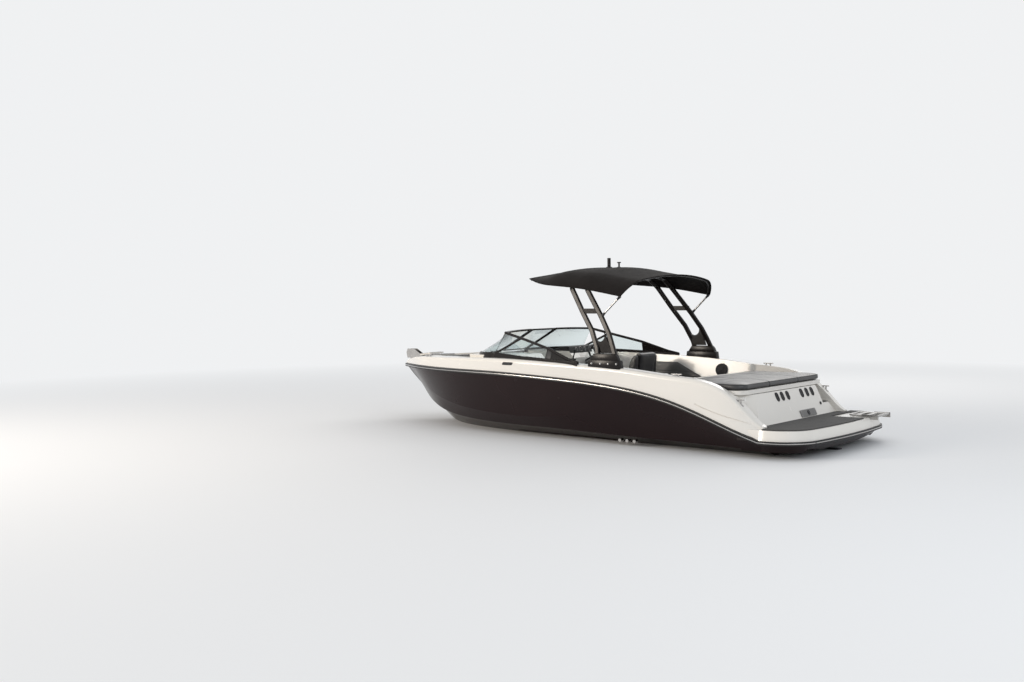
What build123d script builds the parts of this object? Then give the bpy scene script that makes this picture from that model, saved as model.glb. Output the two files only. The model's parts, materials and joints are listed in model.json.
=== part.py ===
"""Sterndrive bowrider speedboat with a sport tower, canopy and swim platform.

Millimetres. +X to the bow, +Y to port, +Z up. The origin is on the waterline,
on the centreline, amidships. The boat is drawn afloat with its whole hull.
"""
import os
from collections import namedtuple
from math import atan2, cos, degrees, hypot, radians, sin

from build123d import *

os.makedirs("parts", exist_ok=True)

BASE = (Align.CENTER, Align.CENTER, Align.MIN)

# Body stations from the transom to the bow tip. Widths are half-widths, heights
# are above the waterline, and the rail is the outer face of the rub rail.
Station = namedtuple("Station", "x keel_z chine_y chine_z crease_y crease_z rail_y rail_z edge_y edge_z")
STATIONS = [
    Station(-2850, -300, 1072, 70, 1140, 126, 1225, 178, 1088, 328),
    Station(-2700, -300, 1076, 76, 1155, 154, 1252, 231, 1112, 450),
    Station(-2500, -301, 1080, 84, 1168, 200, 1275, 309, 1135, 634),
    Station(-2200, -303, 1080, 93, 1178, 270, 1288, 425, 1148, 778),
    Station(-1800, -305, 1080, 103, 1182, 350, 1295, 553, 1155, 830),
    Station(-1100, -306, 1075, 114, 1176, 424, 1295, 680, 1156, 896),
    Station(-200, -304, 1050, 133, 1150, 300, 1295, 749, 1156, 936),
    Station(700, -292, 1000, 140, 1096, 268, 1262, 783, 1118, 960),
    Station(1500, -262, 880, 165, 985, 320, 1150, 788, 1005, 948),
    Station(2100, -180, 690, 230, 800, 420, 975, 788, 835, 935),
    Station(2500, -5, 490, 330, 612, 520, 790, 787, 668, 920),
    Station(2900, 285, 235, 480, 330, 610, 500, 775, 405, 892),
    Station(3200, 528, 85, 620, 140, 690, 250, 762, 190, 850),
    Station(3420, 722, 14, 736, 26, 744, 62, 752, 34, 800),
]
CHINE_FLAT = 55
RAIL_PROUD = 20
RAIL_HALF_HEIGHT = 28
RAIL_BEVEL = 8
RAIL_ROOT = 30
SEAM_ABOVE_RAIL = 12
SHOULDER_OUT, SHOULDER_DROP, SHOULDER_IN = 16, 45, 30
SHOULDER_BULGE = 9
TIP_SHOULDER = 200
DECK_CROWN = 14

# Running strakes under the bottom: share of the way to the chine, foremost station
STRAKES = [(0.40, 10), (0.74, 9)]
STRAKE_WIDE = 42
STRAKE_SINK = 5

# Styling groove in the quarters, as (x, z)
GROOVE = [(-2110, 549), (-2390, 453), (-2600, 396), (-2740, 358)]
GROOVE_R = 6

# Swim platform, outlined by three arcs a side
PLATFORM_ROOT_X = -2600
PLATFORM_SIDE_X = -2850
PLATFORM_CORNER = (-3200, 1112)
PLATFORM_QUARTER = (-3335, 870)
PLATFORM_AFT_X = -3385
PLATFORM_TOP_Z = 306
PLATFORM_SEAM_Z = 190
PLATFORM_CHIN_Z = 70
PLATFORM_CHIN_INSET = 110
PLATFORM_EDGE_INSET = 22
PAD_THICK = 10
PAD_INSET = 52
PAD_CORNER_X, PAD_CORNER_Y = -2865, 985
PAD_BARE_X, PAD_BARE_Y = -2925, (-970, -440)

# Cockpit, bow well, footwell, engine bay, anchor locker and stern
LINER_WALL = 20
OPEN_ABOVE_Z = 1200
COCKPIT_AFT_X, COCKPIT_KNEE_X, COCKPIT_FORE_X = -1620, 500, 1450
COCKPIT_FLOOR_Z, COAMING_Z = 130, 960
COCKPIT_HALF_LOW, COCKPIT_HALF_HIGH = 930, 1060
COCKPIT_FORE_LOW, COCKPIT_FORE_HIGH = 760, 905
WELL_FLOOR_Z = 480
WELL_LOW = [(1450, 790), (2100, 620), (2740, 215)]
WELL_FLARE = 62
FOOTWELL_FLOOR_Z = 200
FOOTWELL_AFT_X, FOOTWELL_FORE_X = 1400, 2150
FOOTWELL_HALF = 270
PASSAGE_HALF = 300
HATCH_AFT_X, HATCH_FORE_X = -2585, -1640
HATCH_HALF = 1030
HATCH_LEDGE_Z = 640
HATCH_CLEAR = 12
HATCH_GAP = 6
HATCH_THICK = 46
SUNPAD_THICK = 76
SUNPAD_INSET = 3
SUNPAD_CORNER_R, SUNPAD_EDGE_R = 140, 28
TRANSOM_FOOT_X = -2750
TRANSOM_HALF, TRANSOM_FLAT_HALF = 1000, 740
TRANSOM_LAP, TRANSOM_FORE_X = 3, -2300
TRANSOM_SHOULDER, TRANSOM_END_X = (-2550, 900), -2440
STEP_X = (-2800, -2420)
STEP_Y = (-1010, -760)
STEP_FLOOR_Z = 430
BAY_X = (-2540, -1790)
BAY_HALF_LOW, BAY_HALF_HIGH = 440, 735
BAY_FLOOR_Z, BAY_STEP_Z = -80, 200
ENGINE_X = (-2490, -1850)
ENGINE_HALF, ENGINE_TOP_Z = 310, 480
LOCKER_X = (2850, 3040)
LOCKER_HALF, LOCKER_FLOOR_Z = 115, 640
LID_LAP, LID_THICK, LID_LIFT = 25, 20, 14
DRIVE_POCKET_X = (-3260, -2850)
DRIVE_POCKET_HALF, DRIVE_POCKET_TOP_Z = 880, 172

# Windshield, each point of the port side
GLASS_THICK = 6
SCREEN_BAR_R = 14
POST_BASE, POST_TOP = (1420, 272, 1004), (892, 272, 1293)
FRONT_BASE_MID, FRONT_TOP_MID = (1345, 760, 1010), (862, 640, 1288)
CORNER_BASE, CORNER_TOP = (940, 950, 1015), (786, 933, 1277)
SIDE_RAIL = [(500, 962, 1212), (20, 1050, 1098), (-340, 1122, 978)]
SIDE_BASE = [(468, 1040, 985), (39, 1092, 968)]
SCREEN_END = (-490, 1146, 945)
COWL_WIDE, COWL_DEEP = 44, 70
WINDOW_GAP = 8
WINDOW_BAR_R = 12
WINDOW_FORE_LIFT = 8

# Tower legs, feet and crown
FRONT_LEG = [(-760, 1116, 1010), (-736, 1099, 1122), (-639, 1060, 1325), (-475, 1017, 1545),
             (-280, 962, 1830)]
AFT_LEG = [(-1010, 1118, 1010), (-951, 1095, 1145), (-885, 1067, 1286), (-746, 1027, 1494),
           (-503, 962, 1815)]
LEG_LONG, LEG_WIDE, LEG_CORNER_R = 60, 38, 13
LEG_BEND_R = 60
SHOULDER_Y, SHOULDER_Z = 800, 1935
CROWN_Y, CROWN_Z = 350, 2020
RUNG_Z, RUNG_TALL, RUNG_THICK = 1552, 60, 22
INFILL_Y = (1075, 1097)
INFILL_BOTTOM_Z = 1068
FOOT_TOP_Z, FOOT_STEP_Z, FOOT_BOTTOM_Z = 1035, 985, 880
FOOT_Y = (1078, 1162)
CROWN_PLATE_X, CROWN_PLATE_HALF = (-490, -130), 60
CROWN_PLATE_Z = (2030, 2050)
POST_X, POST_R, POST_TOP_Z = -164, 22, 2206
KNOB_X, KNOB_NECK_R, KNOB_HEAD_R = -316, 11, 24
KNOB_TOP_Z, KNOB_HEAD_THICK = 2152, 14

# Canopy sections, from the front
CanopySection = namedtuple("CanopySection", "x half edge_z crown_z")
CANOPY = [
    CanopySection(500, 800, 1930, 2040),
    CanopySection(0, 965, 1858, 2084),
    CanopySection(-500, 1020, 1808, 2080),
    CanopySection(-1025, 1040, 1718, 1997),
    CanopySection(-1250, 1030, 1684, 1972),
]
CANOPY_AFT_RAKE = [(-1022, 1600), (-1022, 1714), (-1222, 2014), (-1400, 2014), (-1400, 1600)]
CANOPY_THICK = 10
CANOPY_KNEE_SHARE, CANOPY_KNEE_DROP = 0.72, 0.22
CANOPY_HOLE_CLEAR = 8
STRUT_FOOT, STRUT_TOP, STRUT_R = (-770, 1034, 1500), (-1008, 1022, 1716), 9

# Seats
SEAT_X, SEAT_Y = -130, 520
SEAT_HALF = 250
SEAT_TOP_Z, SEAT_DEEP, SEAT_BACK_TOP_Z = 560, 110, 1005
BOLSTER_WIDE = 62
SEAT_CORNER_R, SEAT_EDGE_R = 22, 14
SEAT_PLATE_R, SEAT_PLATE_THICK = 140, 15
SEAT_SWIVEL_GAP = 5
PEDESTAL_R, PEDESTAL_FOOT_R, PEDESTAL_FOOT_THICK = 45, 150, 12
MAT_THICK = 8
MAT_AFT_X = -1105
MAT_HALF, MAT_WALK_HALF = 870, 240
BENCH_FORE_X, BENCH_TOP_Z = -1120, 420
BENCH_CUSHION_THICK = 120
BENCH_BACK_X = (-1594, -1520)
BENCH_BACK_TOP_Z = 800
CUSHION_GAP = 6
PANEL_THICK = 22
PANEL_OUTLINE = [(-960, 640), (-890, 690), (-560, 850), (-200, 850), (-200, 640)]
BOW_CUSHION_THICK = 100
BOW_CUSHION_GAP = 8
BOW_BACK_THICK = 88
BOW_BACK_SLOPE = [(1300, 1005), (1650, 990), (2150, 948), (2800, 903)]

# Helm
CONSOLE_AFT_X = 560
CONSOLE_KNEE_Z, CONSOLE_TOP_Z = 720, 990
CONSOLE_RAKE, CONSOLE_BROW = 60, 150
HELM_Y = -560
DASH_HALF = 250
WHEEL_CENTRE = (430, HELM_Y, 930)
WHEEL_TILT = 28
WHEEL_R, WHEEL_RIM_R, WHEEL_HUB_R = 165, 14, 38
SPOKE_WIDE, SPOKE_THICK = 26, 10
COLUMN_R, COLUMN_LENGTH, COLUMN_GAP = 32, 260, 6
THROTTLE_X, THROTTLE_Z = 640, 840
THROTTLE_BASE, THROTTLE_THICK = 100, 18

# Sterndrive
SHIELD_X, SHIELD_HALF, SHIELD_Z = (-2880, -2850), 150, (-262, 80)
SHIELD_CORNER_R = 40
STEER_X = -2960
STEER_PIN_R, PIN_CLEAR = 14, 0.4
YOKE_ARM_HALF, YOKE_ARM_THICK, YOKE_GAP = 34, 18, 6
RING_Z, RING_HALF, RING_THICK = (-220, 40), 95, 50
RING_HOLE_HALF, RING_HOLE_Z = 60, (-180, 0)
TILT_X, TILT_Z = -3020, -60
TILT_PIN_R, TILT_ARM_Y, TILT_ARM_HALF = 12, (75, 95), 30
LEG_HALF = 66
DRIVE_OUTLINE = [(-2995, -95), (-2995, -35), (-3075, 5), (-3225, 10), (-3262, -45), (-3245, -190),
                 (-3225, -338), (-3030, -338), (-3005, -190)]
DRIVE_CORNER_R, DRIVE_EDGE_R = 14, 16
# Lower leg foils: height, nose x, tail x, half width
Foil = namedtuple("Foil", "z nose_x tail_x half")
FOILS = [Foil(-330, -3034, -3232, 44), Foil(-430, -3024, -3236, 30), Foil(-530, -3006, -3240, 26)]
FOIL_NOSE_SHARE, FOIL_TAIL_HALF = 0.35, 4
PLATE_Z, PLATE_THICK, PLATE_HALF, PLATE_X, PLATE_CORNER_R = -345, 10, 120, (-3395, -3000), 70
SHAFT_Z = -550
TORPEDO_R, TORPEDO_AFT_X, TORPEDO_SHOULDER_X, TORPEDO_NOSE_X, NOSE_R = 50, -3290, -3040, -2935, 32
SKEG_OUTLINE = [(-3235, -585), (-3050, -585), (-3120, -700), (-3165, -775), (-3222, -780)]
SKEG_HALF = 8
PROP_X, PROP_HUB_R, PROP_HUB_BORE_R, PROP_HUB_LONG = -3345, 46, 34, 100
PROP_BLADES = 3
# Propeller blade sections: radius, chord, pitch angle and thickness
BladeSection = namedtuple("BladeSection", "radius chord pitch thick")
BLADE = [BladeSection(38, 74, 62, 13), BladeSection(85, 128, 42, 10), BladeSection(135, 140, 30, 7),
         BladeSection(178, 70, 24, 4)]
RAM_PIVOT, RAM_EYE = (-2975, -195), (-3195, -100)
RAM_Y, RAM_R, ROD_R = 118, 17, 8
RAM_PIN_R, RAM_PIN_OVER, RAM_EYE_R, RAM_EYE_HOLE_R, RAM_EYE_HALF = 7, 20, 18, 13, 8
RAM_BARREL, RAM_ROD_START, ROD_CLEAR = (-16, 150), 26, 1

# Ladder, on the starboard quarter of the platform
LADDER_AXIS_X, LADDER_AXIS_Z = -3420, 326
LADDER_Y = (-900, -600)
LADDER_LENGTH, LADDER_TUBE_R, LADDER_BEND_R = 340, 12, 50
LADDER_BAR_R, LADDER_BAR_OVER = 14, 16
LADDER_STEPS, STEP_DEEP, STEP_THICK = (125, 235), 44, 18
LUG_OFFSET, LUG_THICK, LUG_PIN_R, LUG_FORE_X = 34, 16, 8, -3250

# Small fittings
CLEAT_XS = [-2560, -1811, 2350]
CLEAT_LENGTH, CLEAT_RISE, CLEAT_R, CLEAT_FOOT = 130, 26, 7, 28
CLEAT_INBOARD = 45
EYE_R, EYE_HOLE_R, EYE_THICK, EYE_REACH = 28, 15, 16, 45
BOW_EYE, BOW_EYE_LEAN = (2905, 0, 270), (-0.62, 0, 0.78)
STERN_EYE = (-2878, 700, 20)
VENT_YS = [305, 180, 45, -315, -455, -590]
VENT_TALL, VENT_WIDE, VENT_UP, VENT_PROUD = 110, 72, 298, 5
PANEL_Y, PANEL_UP, PANEL_PROUD = (-475, -75), (12, 98), 8
SOCKET_Y, SOCKET_UP, SOCKET_R = -690, 140, 20
SPEAKERS = [(-1213, 759), (140, 560)]
SPEAKER_R, SPEAKER_PROUD = 82, 14
OUTLET_XS = [-1030, -1130, -1230]
OUTLET_Z, OUTLET_R, OUTLET_PROUD = 60, 20, 8
SIDE_LIGHT = (580, 905)
SIDE_LIGHT_LONG, SIDE_LIGHT_TALL, SIDE_LIGHT_PROUD = 170, 34, 4
CHEEK_Y, CHEEK_THICK = 30, 8
CHEEK_OUTLINE = [(3050, 860), (3130, 905), (3270, 985), (3395, 985), (3418, 930), (3400, 850)]
CHANNEL_X, CHANNEL_Z = (3100, 3350), (820, 868)
ROLLER_X, ROLLER_Z, ROLLER_R = 3385, 925, 26


def between(name, x):
    """Straight-line value of one station column at x."""
    for first, second in zip(STATIONS, STATIONS[1:]):
        if x <= second.x:
            share = (x - first.x) / (second.x - first.x)
            return getattr(first, name) + share * (getattr(second, name) - getattr(first, name))
    return getattr(STATIONS[-1], name)


def both_sides(points):
    """Closed outline from its port half, both ends off the centreline."""
    return points + [(x, -y) for x, y in reversed(points)]


def other_side(span):
    """Span on the other side of the centreline."""
    return (-span[1], -span[0])


# Plain shapes, each made in the part being built


def add_bar(start, end, radius, mode=Mode.ADD):
    axis = Vector(*end) - Vector(*start)
    with Locations(Plane(start, z_dir=axis)):
        Cylinder(radius, axis.length, align=BASE, mode=mode)


def add_cross_bar(centre, y_span, radius, mode=Mode.ADD):
    """Bar across the boat at a point (x, z)."""
    x, z = centre
    add_bar((x, y_span[0], z), (x, y_span[1], z), radius, mode)


def add_block(x_span, y_span, z_span, mode=Mode.ADD):
    spans = (x_span, y_span, z_span)
    with Locations(tuple((low + high) / 2 for low, high in spans)):
        Box(*(high - low for low, high in spans), mode=mode)


def add_across(outline, y_span, mode=Mode.ADD):
    """Closed outline in the X-Z plane, carried across y_span."""
    with BuildSketch(Plane.XZ.offset(-y_span[1])) as profile:
        with BuildLine():
            Polyline(*outline, close=True)
        make_face()
    extrude(profile.sketch, amount=y_span[1] - y_span[0], mode=mode)


def add_taper(low, low_z, high, high_z, mode=Mode.ADD):
    """Flat-sided solid between two outlines in level planes."""
    levels = []
    for outline, z in ((low, low_z), (high, high_z)):
        with BuildSketch(Plane.XY.offset(z)) as level:
            with BuildLine():
                Polyline(*outline, close=True)
            make_face()
        levels.append(level.sketch)
    loft(levels, ruled=True, mode=mode)


def save(name, piece):
    piece.part.label = name
    export_step(piece.part, f"parts/{name}.step")


# Outer body


def shoulder(station):
    """Foot, middle and top of the rounded deck edge, as (y, z)."""
    scale = min(1.0, (station.edge_z - station.rail_z) / TIP_SHOULDER)
    foot = (station.edge_y + SHOULDER_OUT * scale, station.edge_z - SHOULDER_DROP * scale)
    top = (station.edge_y - SHOULDER_IN * scale, station.edge_z)
    bulge = SHOULDER_BULGE * scale
    return foot, ((foot[0] + top[0]) / 2 + bulge, (foot[1] + top[1]) / 2 + bulge), top


def draw_section(station):
    """Port half of a cross section from the keel to the deck's crown."""
    flat = min(CHINE_FLAT, 0.3 * station.chine_y)
    foot, middle, top = shoulder(station)
    Polyline((0, station.keel_z), (station.chine_y - flat, station.chine_z),
             (station.chine_y, station.chine_z), (station.crease_y, station.crease_z),
             (station.rail_y - RAIL_PROUD, station.rail_z), foot)
    ThreePointArc(foot, middle, top)
    Line(top, (0, station.edge_z + DECK_CROWN))


def draw_platform(inset):
    """Plan outline of the platform, set in by a distance."""
    half = between("rail_y", PLATFORM_SIDE_X) - RAIL_PROUD - inset
    slant = inset * 0.7
    corner = (PLATFORM_CORNER[0] + slant, PLATFORM_CORNER[1] - slant)
    quarter = (PLATFORM_QUARTER[0] + inset * 0.95, PLATFORM_QUARTER[1] - inset * 0.3)
    Line((PLATFORM_ROOT_X, 0), (PLATFORM_ROOT_X, half))
    Line((PLATFORM_ROOT_X, half), (PLATFORM_SIDE_X, half))
    ThreePointArc((PLATFORM_SIDE_X, half), corner, quarter)
    aft_bow = ThreePointArc(quarter, (PLATFORM_AFT_X + inset, 0), (quarter[0], -quarter[1]),
                            mode=Mode.PRIVATE)
    ThreePointArc(quarter, aft_bow @ 0.25, aft_bow @ 0.5)


def add_platform(low_inset, low_z, high_inset, high_z):
    """Slab with the platform's outline at two levels."""
    levels = []
    for inset, z in ((low_inset, low_z), (high_inset, high_z)):
        with BuildSketch(Plane.XY.offset(z)) as level:
            with BuildLine():
                draw_platform(inset)
                mirror(about=Plane.XZ)
            make_face()
        levels.append(level.sketch)
    loft(levels, ruled=True)


def add_transom(mode=Mode.ADD):
    """Raised transom, its aft face flat amidships and swept forwards at both ends."""
    side, top_x = TRANSOM_HALF + TRANSOM_LAP, HATCH_AFT_X - HATCH_CLEAR
    shoulder_x, shoulder_y = TRANSOM_SHOULDER
    foot = [(TRANSOM_FOOT_X, shoulder_y), (TRANSOM_FOOT_X, TRANSOM_FLAT_HALF)]
    top = [(shoulder_x, shoulder_y), (top_x, TRANSOM_FLAT_HALF)]
    add_taper(both_sides([(TRANSOM_FORE_X, side), (TRANSOM_FOOT_X, side), *foot]), PLATFORM_TOP_Z,
              both_sides([(TRANSOM_FORE_X, side), (TRANSOM_END_X, side), *top]), HATCH_LEDGE_Z, mode)


with BuildPart() as outer:
    for station in STATIONS:
        with BuildSketch(Plane.YZ.offset(station.x)):
            with BuildLine():
                draw_section(station)
                mirror(about=Plane.YZ)
            make_face()
    loft()
    add_platform(0, PLATFORM_SEAM_Z, PLATFORM_EDGE_INSET, PLATFORM_TOP_Z)
    add_platform(PLATFORM_CHIN_INSET, PLATFORM_CHIN_Z, 0, PLATFORM_SEAM_Z)
    add_transom()

with BuildPart() as above_seam:
    with BuildSketch(Plane.XZ):
        with BuildLine():
            seam = [(station.x, station.rail_z + SEAM_ABOVE_RAIL) for station in STATIONS]
            aft_end, fore_end = (-3600, PLATFORM_SEAM_Z), (3600, seam[-1][1])
            Line(aft_end, seam[0])
            Spline(*seam)
            Polyline(seam[-1], fore_end, (fore_end[0], 1500), (aft_end[0], 1500), aft_end)
        make_face()
    extrude(amount=1500, both=True)

# Hollows


def add_cockpit(wall, mode=Mode.ADD):
    """Main cockpit space, its walls leaning outwards."""
    lean = (OPEN_ABOVE_Z - COCKPIT_FLOOR_Z) / (COAMING_Z - COCKPIT_FLOOR_Z)
    main_high = COCKPIT_HALF_LOW + lean * (COCKPIT_HALF_HIGH - COCKPIT_HALF_LOW)
    fore_high = COCKPIT_FORE_LOW + lean * (COCKPIT_FORE_HIGH - COCKPIT_FORE_LOW)
    aft, fore = COCKPIT_AFT_X + wall, COCKPIT_FORE_X - wall
    outlines = []
    for main_half, fore_half in ((COCKPIT_HALF_LOW, COCKPIT_FORE_LOW), (main_high, fore_high)):
        outlines.append(both_sides([(aft, main_half - wall), (COCKPIT_KNEE_X, main_half - wall),
                                    (fore, fore_half - wall)]))
    add_taper(outlines[0], COCKPIT_FLOOR_Z + wall, outlines[1], OPEN_ABOVE_Z, mode)


def well_outline(inset, flare=0):
    """Bow well's outline, set in all round and flared at the sides."""
    (aft_x, aft_y), middle, (fore_x, fore_y) = WELL_LOW
    side = flare - inset
    return both_sides([(aft_x + inset, aft_y + side), (middle[0], middle[1] + side),
                       (fore_x - inset, fore_y + side)])


def add_bow_well(wall, mode=Mode.ADD):
    """Seat well in the bow and the footwell between its seats."""
    add_taper(well_outline(wall), WELL_FLOOR_Z + wall, well_outline(wall, WELL_FLARE), OPEN_ABOVE_Z,
              mode)
    add_block((FOOTWELL_AFT_X, FOOTWELL_FORE_X - wall), (wall - FOOTWELL_HALF, FOOTWELL_HALF - wall),
              (FOOTWELL_FLOOR_Z + wall, WELL_FLOOR_Z + wall + 1), mode)


with BuildPart() as cockpit_space:
    add_cockpit(0)
    add_bow_well(0)

with BuildPart() as lined_space:
    add_cockpit(LINER_WALL)
    add_bow_well(LINER_WALL)
    threshold = (COCKPIT_FORE_X - 60, COCKPIT_FORE_X + 60)
    foot_half = FOOTWELL_HALF - LINER_WALL
    add_block(threshold, (-PASSAGE_HALF, PASSAGE_HALF), (WELL_FLOOR_Z + LINER_WALL, OPEN_ABOVE_Z))
    add_block(threshold, (-foot_half, foot_half), (FOOTWELL_FLOOR_Z + LINER_WALL, OPEN_ABOVE_Z))

with BuildPart() as engine_bay:
    add_block(BAY_X, (-BAY_HALF_LOW, BAY_HALF_LOW), (BAY_FLOOR_Z, HATCH_LEDGE_Z + 1))
    add_block(BAY_X, (-BAY_HALF_HIGH, BAY_HALF_HIGH), (BAY_STEP_Z, HATCH_LEDGE_Z + 1))

with BuildPart() as stern_space:
    add_block((-3700, TRANSOM_FORE_X - 1), (-TRANSOM_HALF, TRANSOM_HALF), (PLATFORM_TOP_Z, HATCH_LEDGE_Z))
    add_transom(Mode.SUBTRACT)
    add_block((HATCH_AFT_X - HATCH_CLEAR, HATCH_FORE_X + HATCH_CLEAR),
              (-HATCH_HALF - HATCH_CLEAR, HATCH_HALF + HATCH_CLEAR), (HATCH_LEDGE_Z, OPEN_ABOVE_Z))
    add_block(STEP_X, STEP_Y, (STEP_FLOOR_Z, HATCH_LEDGE_Z + 1))

# Hull, deck, liner and rub rail


def add_strake(share, last):
    """Wedge along the bottom, port side, ending in a point."""
    sections = []
    for index, station in enumerate(STATIONS[:last]):
        reach = station.chine_y - CHINE_FLAT
        slope = (station.chine_z - station.keel_z) / reach
        wide = STRAKE_WIDE * min(1.0, 0.25 * (last - index))
        y = share * reach
        z = station.keel_z + y * slope + STRAKE_SINK
        with BuildSketch(Plane.YZ.offset(station.x)) as section:
            with BuildLine():
                Polyline((y - wide, z - wide * slope), (y, z - wide * slope), (y, z), close=True)
            make_face()
        sections.append(section.sketch)
    loft(sections, ruled=True)


with BuildPart() as hull:
    for share, last in STRAKES:
        add_strake(share, last)
    mirror(about=Plane.XZ)
    add(outer)
    add(above_seam, mode=Mode.SUBTRACT)
    for space in (cockpit_space, engine_bay, stern_space):
        add(space, mode=Mode.SUBTRACT)
    add_block(LOCKER_X, (-LOCKER_HALF, LOCKER_HALF), (LOCKER_FLOOR_Z, OPEN_ABOVE_Z), Mode.SUBTRACT)
    add_block(DRIVE_POCKET_X, (-DRIVE_POCKET_HALF, DRIVE_POCKET_HALF), (0, DRIVE_POCKET_TOP_Z),
              Mode.SUBTRACT)
save("hull", hull)


def topside_point(x, z):
    """Point of the port topside above the rail."""
    foot_y, foot_z = between("rail_y", x) - RAIL_PROUD, between("rail_z", x)
    top_y, top_z = between("edge_y", x) + SHOULDER_OUT, between("edge_z", x) - SHOULDER_DROP
    return (x, foot_y + (top_y - foot_y) * (z - foot_z) / (top_z - foot_z), z)


with BuildPart() as grooves:
    with BuildLine() as groove_line:
        Spline(*(topside_point(x, z) for x, z in GROOVE))
    with BuildSketch(Plane(groove_line.line @ 0, z_dir=groove_line.line % 0)):
        Circle(GROOVE_R)
    sweep()
    mirror(about=Plane.XZ)

with BuildPart() as deck:
    add(outer)
    add(above_seam, mode=Mode.INTERSECT)
    for space in (cockpit_space, engine_bay, stern_space, grooves):
        add(space, mode=Mode.SUBTRACT)
    add_block(LOCKER_X, (-LOCKER_HALF, LOCKER_HALF), (LOCKER_FLOOR_Z, OPEN_ABOVE_Z), Mode.SUBTRACT)
save("deck", deck)

with BuildPart() as cockpit_liner:
    add(cockpit_space)
    add(lined_space, mode=Mode.SUBTRACT)
    add(outer, mode=Mode.INTERSECT)
save("cockpit_liner", cockpit_liner)

with BuildPart() as rub_rail:
    for station in STATIONS:
        inner, outside = station.rail_y - RAIL_PROUD - RAIL_ROOT, station.rail_y
        low, high = station.rail_z - RAIL_HALF_HEIGHT, station.rail_z + RAIL_HALF_HEIGHT
        with BuildSketch(Plane.YZ.offset(station.x)):
            with BuildLine():
                Polyline((inner, low), (outside, low + RAIL_BEVEL), (outside, high - RAIL_BEVEL),
                         (inner, high), close=True)
            make_face()
    loft()
    mirror(about=Plane.XZ)
with BuildPart() as quarter_rail:
    rail_z = STATIONS[0].rail_z
    face_half = RAIL_HALF_HEIGHT - RAIL_BEVEL
    add_platform(-RAIL_PROUD, rail_z - face_half, -RAIL_PROUD, rail_z + face_half)
    add_block((PLATFORM_SIDE_X, 0), (-2000, 2000), (0, 500), Mode.SUBTRACT)
with BuildPart() as whole_rail:
    add(rub_rail)
    add(quarter_rail)
    add(outer, mode=Mode.SUBTRACT)
save("rub_rail", whole_rail)

# Boarding ladder and its lugs

with BuildPart() as ladder:
    tip_x = LADDER_AXIS_X + LADDER_LENGTH
    with BuildLine() as ladder_line:
        FilletPolyline((LADDER_AXIS_X, LADDER_Y[0], LADDER_AXIS_Z), (tip_x, LADDER_Y[0], LADDER_AXIS_Z),
                       (tip_x, LADDER_Y[1], LADDER_AXIS_Z), (LADDER_AXIS_X, LADDER_Y[1], LADDER_AXIS_Z),
                       radius=LADDER_BEND_R)
    with BuildSketch(Plane(ladder_line.line @ 0, z_dir=ladder_line.line % 0)):
        Circle(LADDER_TUBE_R)
    sweep()
    for step in LADDER_STEPS:
        x = LADDER_AXIS_X + step
        add_block((x - STEP_DEEP / 2, x + STEP_DEEP / 2), LADDER_Y,
                  (LADDER_AXIS_Z - STEP_THICK / 2, LADDER_AXIS_Z + STEP_THICK / 2))
    add_cross_bar((LADDER_AXIS_X, LADDER_AXIS_Z),
                  (LADDER_Y[0] - LADDER_BAR_OVER, LADDER_Y[1] + LADDER_BAR_OVER), LADDER_BAR_R)
    pin_reach = LUG_OFFSET + LUG_THICK / 2
    add_cross_bar((LADDER_AXIS_X, LADDER_AXIS_Z), (LADDER_Y[0] - pin_reach, LADDER_Y[1] + pin_reach),
                  LUG_PIN_R)
save("ladder", ladder)

with BuildPart() as ladder_brackets:
    for y in (LADDER_Y[0] - LUG_OFFSET, LADDER_Y[1] + LUG_OFFSET):
        add_block((LADDER_AXIS_X - LUG_THICK, LUG_FORE_X), (y - LUG_THICK / 2, y + LUG_THICK / 2),
                  (PLATFORM_TOP_Z - 20, LADDER_AXIS_Z + LUG_THICK))
        add_cross_bar((LADDER_AXIS_X, LADDER_AXIS_Z), (y - LUG_THICK, y + LUG_THICK),
                      LUG_PIN_R + PIN_CLEAR, Mode.SUBTRACT)
    add(outer, mode=Mode.SUBTRACT)
save("ladder_brackets", ladder_brackets)

# Floor mat and platform pad

FLOOR_Z = COCKPIT_FLOOR_Z + LINER_WALL
MAT_TOP_Z = FLOOR_Z + MAT_THICK
with BuildPart() as cockpit_mat:
    add_block((MAT_AFT_X, CONSOLE_AFT_X - 10), (-MAT_HALF, MAT_HALF), (FLOOR_Z, MAT_TOP_Z))
    add_block((CONSOLE_AFT_X - 20, FOOTWELL_AFT_X - 10), (-MAT_WALK_HALF, MAT_WALK_HALF),
              (FLOOR_Z, MAT_TOP_Z))
save("cockpit_mat", cockpit_mat)

with BuildPart() as platform_pad:
    add_platform(PAD_INSET, PLATFORM_TOP_Z, PAD_INSET, PLATFORM_TOP_Z + PAD_THICK)
    add_block((TRANSOM_FOOT_X - 15, 0), (-2000, 2000), (0, 500), Mode.SUBTRACT)
    for side_span in ((PAD_CORNER_Y, 2000), (-2000, -PAD_CORNER_Y)):
        add_block((PAD_CORNER_X, 0), side_span, (0, 500), Mode.SUBTRACT)
    add_block((-3600, PAD_BARE_X), PAD_BARE_Y, (0, 500), Mode.SUBTRACT)
    add(ladder_brackets, mode=Mode.SUBTRACT)
save("platform_pad", platform_pad)

# Windshield and consoles


def along_polyline(points, radius):
    """Bars joined by balls through the points."""
    for start, end in zip(points, points[1:]):
        add_bar(start, end, radius)
    for point in points:
        with Locations(point):
            Sphere(radius)


base_arc = ThreePointArc(POST_BASE, FRONT_BASE_MID, CORNER_BASE)
top_arc = ThreePointArc(POST_TOP, FRONT_TOP_MID, CORNER_TOP)

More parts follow.
